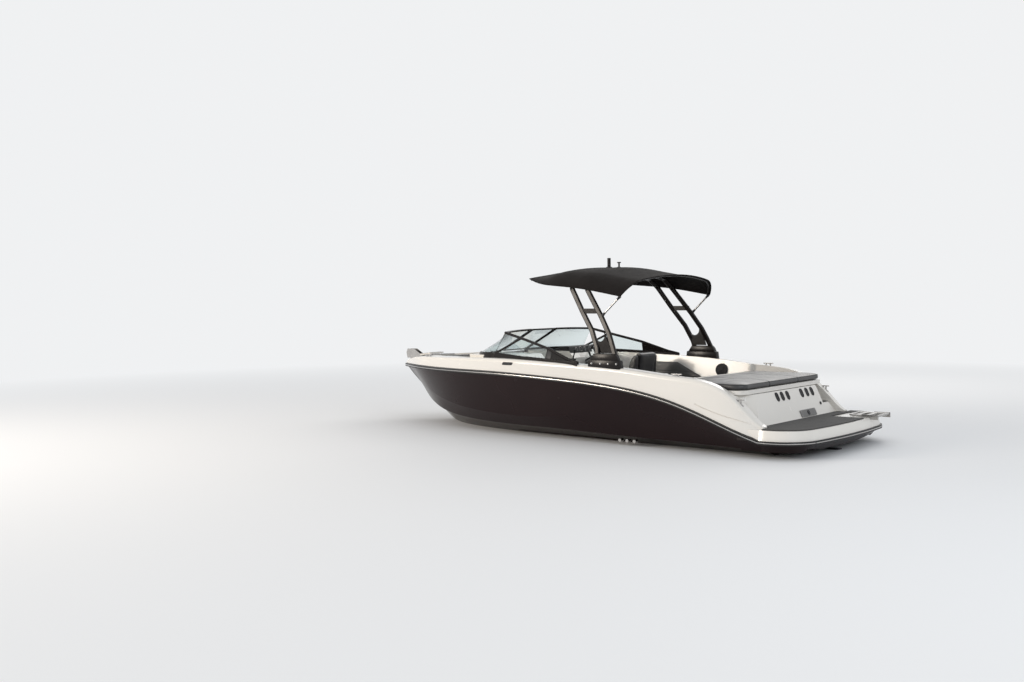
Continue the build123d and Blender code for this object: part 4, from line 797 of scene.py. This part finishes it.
def canopy_rows(tree):
    """Rows of the sheet's points from its raked aft edge to its fore edge."""
    fore_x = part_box("canopy")[1].x - CANOPY_INSET
    reach_at = {}
    rows = []
    shares = [2 * j / CANOPY_STEPS_Y - 1 for j in range(CANOPY_STEPS_Y + 1)]
    full = canopy_reach(tree, CANOPY_FULL_X)
    ends = [raked_end(tree, share, full) for share in shares]
    for i in range(CANOPY_STEPS_X + 1):
        row = []
        for share, end in zip(shares, ends):
            x = end + (fore_x - end) * i / CANOPY_STEPS_X
            key = round(x, 2)
            if key not in reach_at:
                reach_at[key] = canopy_reach(tree, key)
            gap = min(abs(x - bow) for bow in (*CANOPY_BOWS, end))
            sag = CANOPY_SAG * min(1.0, (gap / CANOPY_SAG_REACH) ** 2) * (1 - abs(share) ** 6)
            ripple = abs(CANOPY_RIPPLE * sin(CANOPY_RIPPLES * share + 3 * x)) * share ** 2
            row.append(canopy_point(tree, x, reach_at[key] * share, 0.002 + sag + ripple))
        flatten_fore(row)
        rows.append(row)
    return rows


def make_canopy():
    rows = canopy_rows(surface_of("canopy"))
    form = bmesh.new()
    grid = [[form.verts.new(point) for point in row] for row in rows]
    for near, far in zip(grid, grid[1:]):
        for j in range(CANOPY_STEPS_Y):
            form.faces.new((near[j], far[j], far[j + 1], near[j + 1]))
    bmesh.ops.recalc_face_normals(form, faces=form.faces)
    area = sum(face.calc_area() for face in form.faces)
    piece = add_piece("canopy_sheet", form, "canopy_fabric", replaces=("canopy",), sharp=70)
    solid = piece.modifiers.new("cloth", "SOLIDIFY")
    solid.thickness = CANOPY_CLOTH
    solid.offset = 0
    hem = bmesh.new()
    ends = [row[-1] for row in rows[1:-1]], [row[0] for row in rows[-2:0:-1]]
    add_tube(hem, [*rows[0], *ends[0], *reversed(rows[-1]), *ends[1]], HEM_R, 8, closed=True)
    hem = add_piece("canopy_hem", hem, "canopy_fabric", sharp=70)
    return rows


def make_canopy_frame(rows):
    """Bent tubes under the sheet, one behind its raked edge, and collars where posts pass through."""
    form = bmesh.new()
    lines = [[point.lerp(rows[3][j], 0.5) for j, point in enumerate(rows[0])]]
    middle = CANOPY_STEPS_Y // 2
    for bow in CANOPY_BOWS:
        lines.append(min(rows, key=lambda row: abs(row[middle].x - bow)))
    for line in lines:
        low = [point - Vector((0, BOW_DRAW_IN * (1 if point.y > 0 else -1), BOW_DROP))
               for point in line[1:-1:2]]
        add_tube(form, low, BOW_R, 10)
    add_piece("canopy_bows", form, "dark_aluminium")
    form = bmesh.new()
    for x, radius in POSTS:
        top = min((point for row in rows for point in row), key=lambda p: abs(p.x - x) + abs(p.y)).z
        add_turned(form, [(radius + 0.020, -0.008), (radius + 0.020, 0.004), (radius + 0.012, 0.010),
                          (radius + 0.001, 0.012)], (x, 0, top))
    add_piece("canopy_collars", form, "black_plastic")


def prepare_soft_goods():
    make_sunpad()
    for node in SEAT_ORIGINS:
        make_swivel_seat(node)
    make_bench()
    make_bow_seats()
    make_side_panels()
    finish_cushions()
    make_canopy_frame(make_canopy())


# Fittings: small pieces set on the solids that carry them. Profiles of turned forms are (radius, height),
# outlines of the tower's feet (x, z), and the windshield's lines (x, y, z) on the port side.

RAIL_STRIP = [(-0.002, 0.007), (0.003, 0.005), (0.0042, 0), (0.003, -0.005), (-0.002, -0.007)]
RAIL_STEP, RAIL_NOSE_GAP = 0.12, 0.006
RAIL_TURN_X, RAIL_TURNS = -2.849, 46
FOOT_LOW = [(-0.640, 0.882), (-0.652, 0.985), (-1.080, 0.985), (-1.095, 0.882)]
FOOT_HIGH = [(-0.666, 0.980), (-0.700, 1.028), (-0.722, 1.060), (-1.016, 1.060), (-1.040, 1.030),
             (-1.064, 0.980)]
FOOT_DEEP, FOOT_SETBACK = 0.084, 0.008
FOOT_BOLT = [(0.013, 0), (0.013, 0.003), (0.009, 0.005), (0.009, 0.010), (0.006, 0.012)]
FOOT_BOLTS = [(-0.700, 0.945), (-0.820, 0.945), (-0.930, 0.945), (-1.045, 0.945)]
SIDE_RAIL = [(0.786, 0.933, 1.277), (0.500, 0.962, 1.212), (0.020, 1.050, 1.098), (-0.340, 1.122, 0.978),
             (-0.490, 1.146, 0.945)]
SIDE_RAIL_R = 0.0172
WEDGE = [(0.030, 1.052, 1.094), (-0.335, 1.124, 0.980), (-0.480, 1.144, 0.948), (0.039, 1.092, 0.975)]
WEDGE_FORE = [(0.026, 1.050, 1.096), (-0.050, 1.064, 1.070), (-0.050, 1.100, 0.968), (0.036, 1.092, 0.975)]


def islands(node):
    """Lowest and highest corner of each separate solid of a node, aft ones first."""
    form = solid_form(node)
    left = set(form.verts)
    boxes = []
    while left:
        group, stack = [], [left.pop()]
        while stack:
            vert = stack.pop()
            group.append(vert.co.copy())
            for edge in vert.link_edges:
                other = edge.other_vert(vert)
                if other in left:
                    left.remove(other)
                    stack.append(other)
        low = Vector(min(point[axis] for point in group) for axis in range(3))
        high = Vector(max(point[axis] for point in group) for axis in range(3))
        boxes.append((low, high))
    form.free()
    return sorted(boxes, key=lambda box: (round(box[0].x, 3), box[0].y))


def add_plate(form, points, shift, bevel=0.0):
    """Flat outline in space carried along a shift, its edges rounded."""
    made = bmesh.new()
    near = [made.verts.new(Vector(point)) for point in points]
    far = [made.verts.new(Vector(point) + Vector(shift)) for point in points]
    made.faces.new(near)
    made.faces.new(list(reversed(far)))
    for index in range(len(near)):
        after = (index + 1) % len(near)
        made.faces.new((near[after], near[index], far[index], far[after]))
    bmesh.ops.recalc_face_normals(made, faces=made.faces)
    if bevel:
        bmesh.ops.bevel(made, geom=made.edges[:], offset=bevel, segments=2, affect="EDGES", profile=0.5)
    merge(form, made)


def stadium(half_wide, half_tall, steps=10):
    """Upright slot outline round the origin, as (across, up)."""
    straight = half_tall - half_wide
    points = []
    for middle, start in ((straight, 0.0), (-straight, pi)):
        for step in range(steps + 1):
            turn = start + pi * step / steps
            points.append((half_wide * cos(turn), middle + half_wide * sin(turn)))
    return points


def rail_point(edges, point, normal, reach):
    """Middle of the rub rail's outer face where a plane cuts it."""
    hits = []
    for first, second in edges:
        before, after = (first - point).dot(normal), (second - point).dot(normal)
        if before * after < 0:
            hit = first.lerp(second, before / (before - after))
            if (hit - point).dot(reach) > 0:
                hits.append(hit)
    far = max((hit - point).dot(reach) for hit in hits)
    face = [hit for hit in hits if (hit - point).dot(reach) > far - 0.004]
    middle = (min(hit.z for hit in face) + max(hit.z for hit in face)) / 2
    return point + reach * far + Vector((0, 0, middle - point.z))


def make_rail_strip():
    """Bright insert round the rub rail and the swim platform's edge."""
    solid = solid_form("rub_rail")
    edges = [(edge.verts[0].co.copy(), edge.verts[1].co.copy()) for edge in solid.edges]
    solid.free()
    nose_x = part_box("rub_rail")[1].x - RAIL_NOSE_GAP
    count = int((nose_x - RAIL_TURN_X) / RAIL_STEP)
    port = [rail_point(edges, Vector((x, 0, 0)), AHEAD, PORT) for x in spread(nose_x, RAIL_TURN_X, count + 1)]
    stern = []
    for step in range(1, RAIL_TURNS):
        turn = pi / 2 + pi * step / RAIL_TURNS
        across, reach = Vector((-sin(turn), cos(turn), 0)), Vector((cos(turn), sin(turn), 0))
        stern.append(rail_point(edges, Vector((RAIL_TURN_X, 0, 0)), across, reach))
    starboard = [Vector((point.x, -point.y, point.z)) for point in reversed(port)]
    path = port + stern + starboard
    form = bmesh.new()
    rings = []
    for index, point in enumerate(path):
        along = path[(index + 1) % len(path)] - path[index - 1]
        out = Vector((along.y, -along.x, 0)).normalized()
        rings.append([form.verts.new(point + out * o + UP * u) for o, u in RAIL_STRIP])
    join_rings(form, rings, closed=True)
    bmesh.ops.recalc_face_normals(form, faces=form.faces)
    add_piece("rail_insert", form, "stainless", sharp=50)


def make_tower_feet():
    """Cast foot: a low shroud, a sloped upper casting and its bolts."""
    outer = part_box("tower_feet")[1].y
    inner = outer - FOOT_DEEP
    form, bolts = bmesh.new(), bmesh.new()
    for side in (1, -1):
        for outline, setback in ((FOOT_LOW, 0), (FOOT_HIGH, FOOT_SETBACK)):
            add_plate(form, [(x, side * (inner + setback), z) for x, z in outline],
                      PORT * side * (FOOT_DEEP - 2 * setback), 0.006)
        for x, z in FOOT_BOLTS:
            add_turned(bolts, FOOT_BOLT, (x, side * (outer - 0.001), z), PORT * side, 12)
    add_piece("tower_foot_castings", form, "dark_aluminium", replaces=("tower_feet",))
    add_piece("tower_foot_bolts", bolts, "stainless")


def make_screen_trim():
    """Side rails of the windshield in thicker section, and the filled corners at their aft ends."""
    rails, corners, gaskets = bmesh.new(), bmesh.new(), bmesh.new()
    for side in (1, -1):
        add_tube(rails, [(x, side * y, z) for x, y, z in SIDE_RAIL], SIDE_RAIL_R, 14)
        add_plate(corners, [(x, side * y, z) for x, y, z in WEDGE], (0, -side * 0.007, 0), 0.001)
        add_plate(gaskets, [(x, side * y, z) for x, y, z in WEDGE_FORE], (0, side * 0.004, 0), 0.001)
    add_piece("screen_side_rails", rails, "dark_aluminium")
    add_piece("screen_corners", corners, "dark_aluminium")
    add_piece("screen_corner_seals", gaskets, "black_plastic")


def face_out(node, towards):
    """Normal of a node's largest face that looks along a direction."""
    faces = [face for face in NODES[node].data.polygons if face.normal.dot(towards) > 0.7]
    return max(faces, key=lambda face: face.area).normal.copy()


TRANSOM_LOOK = Vector((-1, 0, 0.3))
VENT_WIDE, VENT_SHARE = 0.03, 1.53
VENT_BLADES, BLADE_PITCH, BLADE_TILT = 5, 0.0185, 38
LATCH_PROFILE = [(0.030, 0.001), (0.030, 0.005), (0.025, 0.007), (0.021, 0.004), (0.006, 0.004)]
SCREW_PROFILE = [(0.006, 0.0), (0.006, 0.003), (0.003, 0.004)]
SCREW_ACROSS, SCREW_UP = 0.178, 0.026
GRILLE_RINGS = (0.82, 0.66, 0.50, 0.34)
STRUT_R, STRUT_CORNER = 0.0115, (0.006, 0.009)
STRUT_END = [(0.008, -0.012), (0.017, -0.008), (0.017, 0.016), (0.0135, 0.022), (0.0135, 0.045)]


def make_vents():
    """Oval vents with a rolled rim and sloping blades over a black plate that is painted shade for the dark
    opening, and the outlet socket beside them on a plate that is its own face.
    """
    out = face_out("transom_panel", TRANSOM_LOOK)
    rims, blades, shade_and_socket_plates = bmesh.new(), bmesh.new(), bmesh.new()
    for low, high in islands("transom_vents"):
        half_wide = (high.y - low.y) / 2
        is_vent = half_wide > VENT_WIDE
        tall = half_wide * VENT_SHARE if is_vent else half_wide
        at = placed((low + high) / 2 - out * 0.0025, -PORT, out)
        outline = stadium(half_wide - 0.005, max(tall - 0.005, half_wide - 0.0049))
        add_tube(rims, [at @ Vector((a, u, 0.003)) for a, u in outline], 0.005, 8, closed=True)
        # In each vent this flat black plate is painted shade standing in for the dark opening behind the
        # blades; at the socket the same plate is the socket's real face.
        add_plate(shade_and_socket_plates, [at @ Vector((a, u, 0)) for a, u in outline], out * 0.002)
        if not is_vent:
            add_turned(rims, [(half_wide * 0.62, 0), (half_wide * 0.62, 0.009), (half_wide * 0.4, 0.012)],
                       at.translation, out, 20)
            continue
        for step in range(VENT_BLADES):
            up = (step - VENT_BLADES // 2) * BLADE_PITCH
            reach = (half_wide - 0.007) * (1 if abs(up) <= BLADE_PITCH else 0.80)
            turn = at @ Matrix.Translation((0, up, 0.004)) @ Matrix.Rotation(radians(BLADE_TILT), 4, "X")
            add_block(blades, (-reach, -0.0075, -0.0012), (reach, 0.0075, 0.0012), 0.0008, turn)
    add_piece("vent_rims", rims, "black_plastic", replaces=("transom_vents",))
    add_piece("vent_shade_and_socket_plates", shade_and_socket_plates, "black_plastic")
    add_piece("vent_blades", blades, "black_plastic")


def make_panel_latch():
    """Turn latch and screws of the transom locker's door."""
    out = face_out("transom_panel", TRANSOM_LOOK)
    low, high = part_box("transom_panel")
    at = placed((low + high) / 2 + out * 0.002, -PORT, out)
    latch, screws = bmesh.new(), bmesh.new()
    add_turned(latch, LATCH_PROFILE, at.translation, out, 28)
    add_block(latch, (-0.019, -0.005, 0.003), (0.019, 0.005, 0.009), 0.002, at)
    for across in (-SCREW_ACROSS, SCREW_ACROSS):
        for up in (-SCREW_UP, SCREW_UP):
            add_turned(screws, SCREW_PROFILE, at @ Vector((across, up, 0)), out, 10)
    add_piece("panel_latch", latch, "black_plastic")
    add_piece("panel_screws", screws, "stainless")


def make_speaker_grilles():
    """Bezel, ringed grille and cone cap over each speaker."""
    bezels, grilles = bmesh.new(), bmesh.new()
    for low, high in islands("speakers"):
        radius = (high.x - low.x) / 2
        lean = face_out("speakers", PORT * (-1 if low.y > 0 else 1))
        at = placed((low + high) / 2 + lean * (0.004 + (high.y - low.y) / 4), AHEAD, lean)
        add_ring(bezels, at, radius - 0.006, 0.0, 0.006, 36, 6)
        for share in GRILLE_RINGS:
            add_ring(grilles, at, radius * share, 0.004, 0.0025, 36, 6)
        for step in range(6):
            turn = pi * step / 6
            way = Vector((cos(turn), sin(turn), 0)) * radius * 0.9
            add_tube(grilles, [at @ (end + UP * 0.003) for end in (way, -way)], 0.002, 6)
        add_turned(grilles, [(0.022, 0.0), (0.022, 0.004), (0.012, 0.009)], at.translation, lean, 20)
    add_piece("speaker_bezels", bezels, "black_plastic")
    add_piece("speaker_grilles", grilles, "black_plastic")


def make_struts():
    """Canopy struts with a clamp at the leg and a jaw under the canopy."""
    tubes, ends = bmesh.new(), bmesh.new()
    for low, high in islands("canopy_struts"):
        side = 1 if low.y > 0 else -1
        y_foot, y_top = (high.y, low.y) if side > 0 else (low.y, high.y)
        inset, shift = STRUT_CORNER
        foot = Vector((high.x - inset, y_foot - side * shift, low.z + inset))
        top = Vector((low.x + inset, y_top + side * shift, high.z - inset))
        along = (top - foot).normalized()
        add_tube(tubes, [foot, top], STRUT_R, 14)
        for end, way in ((foot, along), (top, -along)):
            add_turned(ends, STRUT_END, end, way, 16)
    add_piece("strut_tubes", tubes, "stainless", replaces=("canopy_struts",))
    add_piece("strut_ends", ends, "black_plastic")


CAST_FROM_Z = 1.3
LID_MARGIN = 0.03
FOREDECK_X = (2.765, 3.125)
FOREDECK_INNER, FOREDECK_INNER_AFT, FOREDECK_OUTER, FOREDECK_TAPER = 0.155, 0.02, 0.30, 0.36
STEP_PAD_X, STEP_PAD_Y, STEP_PAD_Z = (-2.655, -2.440), (-0.985, -0.785), 0.4355


def lay_on(tree, x, y, lift):
    """Point a little over a surface."""
    hit = tree.ray_cast(Vector((x, y, CAST_FROM_Z)), DOWN, 1)[0]
    return Vector((x, y, hit.z + lift))


def make_deck_pads():
    """Dark non-skid on the anchor lid, on the foredeck round it and in the transom step."""
    low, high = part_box("locker_lid")
    lid, deck = surface_of("locker_lid"), surface_of("deck")
    rows = []
    for step, x in enumerate(spread(low.x + LID_MARGIN, high.x - LID_MARGIN, 13)):
        half = (high.y - LID_MARGIN) * (1 if 0 < step < 12 else 0.9)
        rows.append([lay_on(lid, x, y, 0.0035) for y in spread(-half, half, 9)])
    form = bmesh.new()
    add_grid_pad(form, rows, 0.004)
    add_piece("lid_pad", form, "deck_mat", "anchor_lid")
    form = bmesh.new()
    for side in (1, -1):
        rows = []
        for x in spread(*FOREDECK_X, 15):
            inner = FOREDECK_INNER if x > low.x - 0.012 else FOREDECK_INNER_AFT
            outer = FOREDECK_OUTER - FOREDECK_TAPER * (x - FOREDECK_X[0])
            rows.append([lay_on(deck, x, side * y, 0.0045) for y in spread(inner, outer, 6)])
        add_grid_pad(form, rows, 0.006)
    add_piece("foredeck_pads", form, "deck_mat")
    form = bmesh.new()
    rows = [[Vector((x, y, STEP_PAD_Z)) for y in spread(*STEP_PAD_Y, 9)] for x in spread(*STEP_PAD_X, 9)]
    add_grid_pad(form, rows, 0.005)
    add_piece("step_pad", form, "foam_pad")


def add_grid_pad(form, rows, thick):
    """Thin pad over a grid of points, closed below."""
    top = [[form.verts.new(point) for point in row] for row in rows]
    low = [[form.verts.new(point - Vector((0, 0, thick))) for point in row] for row in rows]
    for i in range(len(rows) - 1):
        for j in range(len(rows[0]) - 1):
            form.faces.new((top[i][j], top[i + 1][j], top[i + 1][j + 1], top[i][j + 1]))
            form.faces.new((low[i][j], low[i][j + 1], low[i + 1][j + 1], low[i + 1][j]))
    for i in range(len(rows) - 1):
        for j in (0, len(rows[0]) - 1):
            form.faces.new((top[i][j], low[i][j], low[i + 1][j], top[i + 1][j]))
    for j in range(len(rows[0]) - 1):
        for i in (0, len(rows) - 1):
            form.faces.new((top[i][j], top[i][j + 1], low[i][j + 1], low[i][j]))
    bmesh.ops.recalc_face_normals(form, faces=form.faces)


# Dials as (y, radius), their ticks in degrees
DIALS = [(-0.655, 0.040), (-0.560, 0.052), (-0.465, 0.040)]
DIAL_Z, DIAL_SHARE = 1.012, 0.62
DIAL_TICKS, TICK_START, TICK_STEP = 11, 225, 27
SWITCH_YS, SWITCH_Z = spread(-0.71, -0.435, 6), 0.968
DIAL_FACE = coated("dial_face", (0.012, 0.012, 0.014), 0.3)
DIAL_MARKS = coated("dial_marks", (0.62, 0.62, 0.60), 0.5)


def make_dash_dials():
    """Three round dials with ticks and needles on the dash, and a row of rocker switches."""
    start_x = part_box("dash")[0].x - 0.2
    out = face_out("dash", Vector((-1, 0, 0.35)))
    tree = surface_of("dash")
    rings, faces, marks, rockers = bmesh.new(), bmesh.new(), bmesh.new(), bmesh.new()
    for y, radius in DIALS:
        hit = tree.ray_cast(Vector((start_x, y, DIAL_Z)), AHEAD, 1)[0]
        at = placed(hit, -PORT, out)
        size = radius * DIAL_SHARE
        add_turned(faces, [(size, -0.004), (size, 0.0025)], hit, out, 32)
        add_ring(rings, at, size, 0.003, 0.003, 32, 8)
        for step in range(DIAL_TICKS):
            turn = radians(TICK_START - TICK_STEP * step)
            way = Vector((cos(turn), sin(turn), 0)) * size
            add_tube(marks, [at @ (way * share + UP * 0.003) for share in (0.72, 0.88)], 0.0007, 5)
        needle = [Vector((0, 0, 0.0034)), Vector((-size * 0.5, size * 0.3, 0.0034))]
        add_tube(marks, [at @ end for end in needle], 0.0009, 5)
    for y in SWITCH_YS:
        hit = tree.ray_cast(Vector((start_x, y, SWITCH_Z)), AHEAD, 1)[0]
        add_block(rockers, (-0.011, -0.007, -0.002), (0.011, 0.007, 0.006), 0.002, placed(hit, -PORT, out))
    add_piece("dial_rings", rings, "stainless")
    add_piece("dial_faces", faces, DIAL_FACE)
    add_piece("dial_marks", marks, DIAL_MARKS)
    add_piece("dash_switches", rockers, "black_plastic")


WHEEL_TILT = radians(28)
GRIP_STARTS, GRIP_ARC, GRIP_R = (20, 140, 260), 80, 0.0158
HUB_PROFILE = [(0.040, -0.002), (0.040, 0.010), (0.030, 0.018), (0.010, 0.020)]
CLEAT_PAD = [(0.018, -0.002), (0.018, 0.003), (0.013, 0.006)]
CLEAT_FOOT_X = 0.028
PROP_NUT = [(0.012, -0.050), (0.022, -0.046), (0.024, -0.020), (0.018, -0.012), (0.018, -0.002), (0.010, 0.0)]
PROP_RISE = 0.230
SHIELD_BOLT = [(0.012, -0.002), (0.012, 0.008), (0.008, 0.012)]
SHIELD_BOLT_Y, SHIELD_BOLT_INSET = 0.105, 0.04


def make_wheel_grip():
    """Grip sleeves and hub cap on the steering wheel."""
    low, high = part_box("steering_wheel")
    middle = (low + high) / 2
    axis = Vector((-cos(WHEEL_TILT), 0, sin(WHEEL_TILT)))
    at = placed(middle, PORT, axis)
    radius = (high.y - low.y) / 2 - 0.014
    form = bmesh.new()
    for start in GRIP_STARTS:
        turns = [radians(turn) for turn in spread(start, start + GRIP_ARC, 17)]
        add_tube(form, [at @ Vector((radius * cos(t), radius * sin(t), 0)) for t in turns], GRIP_R, 12)
    add_turned(form, HUB_PROFILE, middle, axis, 28)
    add_piece("wheel_grip", form, "dark_vinyl", "wheel")


def make_cleat_bases():
    """Round pads under the cleats' feet."""
    deck = surface_of("deck")
    form = bmesh.new()
    for low, high in islands("cleats"):
        middle = (low + high) / 2
        for shift in (-CLEAT_FOOT_X, CLEAT_FOOT_X):
            start = Vector((middle.x + shift, middle.y, high.z + 0.1))
            hit, normal, _, _ = deck.ray_cast(start, DOWN, 1)
            if hit:
                add_turned(form, CLEAT_PAD, hit, normal, 16)
    add_piece("cleat_bases", form, "stainless")


def make_drive_details():
    """Nut behind the propeller, and the bolts of the transom shield."""
    form = bmesh.new()
    centre = Vector((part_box("propeller")[0].x, 0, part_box("drive_leg")[0].z + PROP_RISE))
    add_turned(form, PROP_NUT, centre, -AHEAD, 18)
    add_piece("prop_nut", form, "stainless", "prop")
    low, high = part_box("transom_shield")
    form = bmesh.new()
    for y in (-SHIELD_BOLT_Y, SHIELD_BOLT_Y):
        for z in (low.z + SHIELD_BOLT_INSET, high.z - SHIELD_BOLT_INSET):
            add_turned(form, SHIELD_BOLT, (high.x - 0.0305, y, z), -AHEAD, 6)
    add_piece("shield_nuts", form, "stainless")


WALL_LOW, WALL_HIGH = Vector((-1.632, -0.985, 0.752)), Vector((-1.596, 0.985, 1.2))
CAPPING_HALF, CAPPING_SIDE_Z = 0.006, 0.848


def lower_wall():
    """Deck and liner with the wall behind the bench cut down to the sunpad's height, and its capping."""
    wall = (WALL_LOW, WALL_HIGH)
    planes = [(WALL_LOW, UP), (WALL_LOW, PORT), (WALL_HIGH, PORT), (WALL_LOW, AHEAD), (WALL_HIGH, AHEAD)]
    for node in ("deck", "cockpit_liner"):
        solid = NODES[node].data
        kept = [Vector() for _ in solid.vertices]
        for loop in solid.loops:
            kept[loop.vertex_index] += solid.corner_normals[loop.index].vector
        form = bmesh.new()
        form.from_mesh(solid)
        layer = form.verts.layers.float_vector.new("kept_normal")
        for vert, normal in zip(form.verts, kept):
            vert[layer] = normal.normalized()
        for point, normal in planes:
            cut_across(form, [face for face in form.faces if touches(face, wall)], point, normal, 1e-6)
        gone = [face for face in form.faces if inside(face.calc_center_median(), wall)]
        bmesh.ops.delete(form, geom=gone, context="FACES")
        normals = [vert[layer].normalized() for vert in form.verts]
        form.verts.layers.float_vector.remove(layer)
        piece = add_piece(f"{node}_moulding", form, "gelcoat_white", replaces=(node,), sharp=180)
        piece.data.normals_split_custom_set_from_vertices(normals)
    form = bmesh.new()
    top = (WALL_HIGH.x + 0.002, WALL_HIGH.y, WALL_LOW.z + CAPPING_HALF)
    add_block(form, WALL_LOW - UP * CAPPING_HALF, top, 0.004)
    for side in (1, -1):
        near, far = sorted((side * (WALL_HIGH.y - 0.002), side * (WALL_HIGH.y + 0.01)))
        add_block(form, (WALL_LOW.x + 0.003, near, WALL_LOW.z - 0.004),
                  (WALL_HIGH.x - 0.003, far, CAPPING_SIDE_Z), 0.002)
    add_piece("wall_capping", form, "gelcoat_white")


def touches(face, box):
    """Whether a face's own box meets another."""
    for axis in range(3):
        values = [vert.co[axis] for vert in face.verts]
        if max(values) < box[0][axis] or min(values) > box[1][axis]:
            return False
    return True


def make_fittings():
    lower_wall()
    make_rail_strip()
    make_tower_feet()
    make_screen_trim()
    make_vents()
    make_panel_latch()
    make_speaker_grilles()
    make_struts()
    make_deck_pads()
    make_dash_dials()
    make_wheel_grip()
    make_cleat_bases()
    make_drive_details()


dress_solids()
set_camera()
set_light()
add_floor()
prepare_soft_goods()
make_fittings()
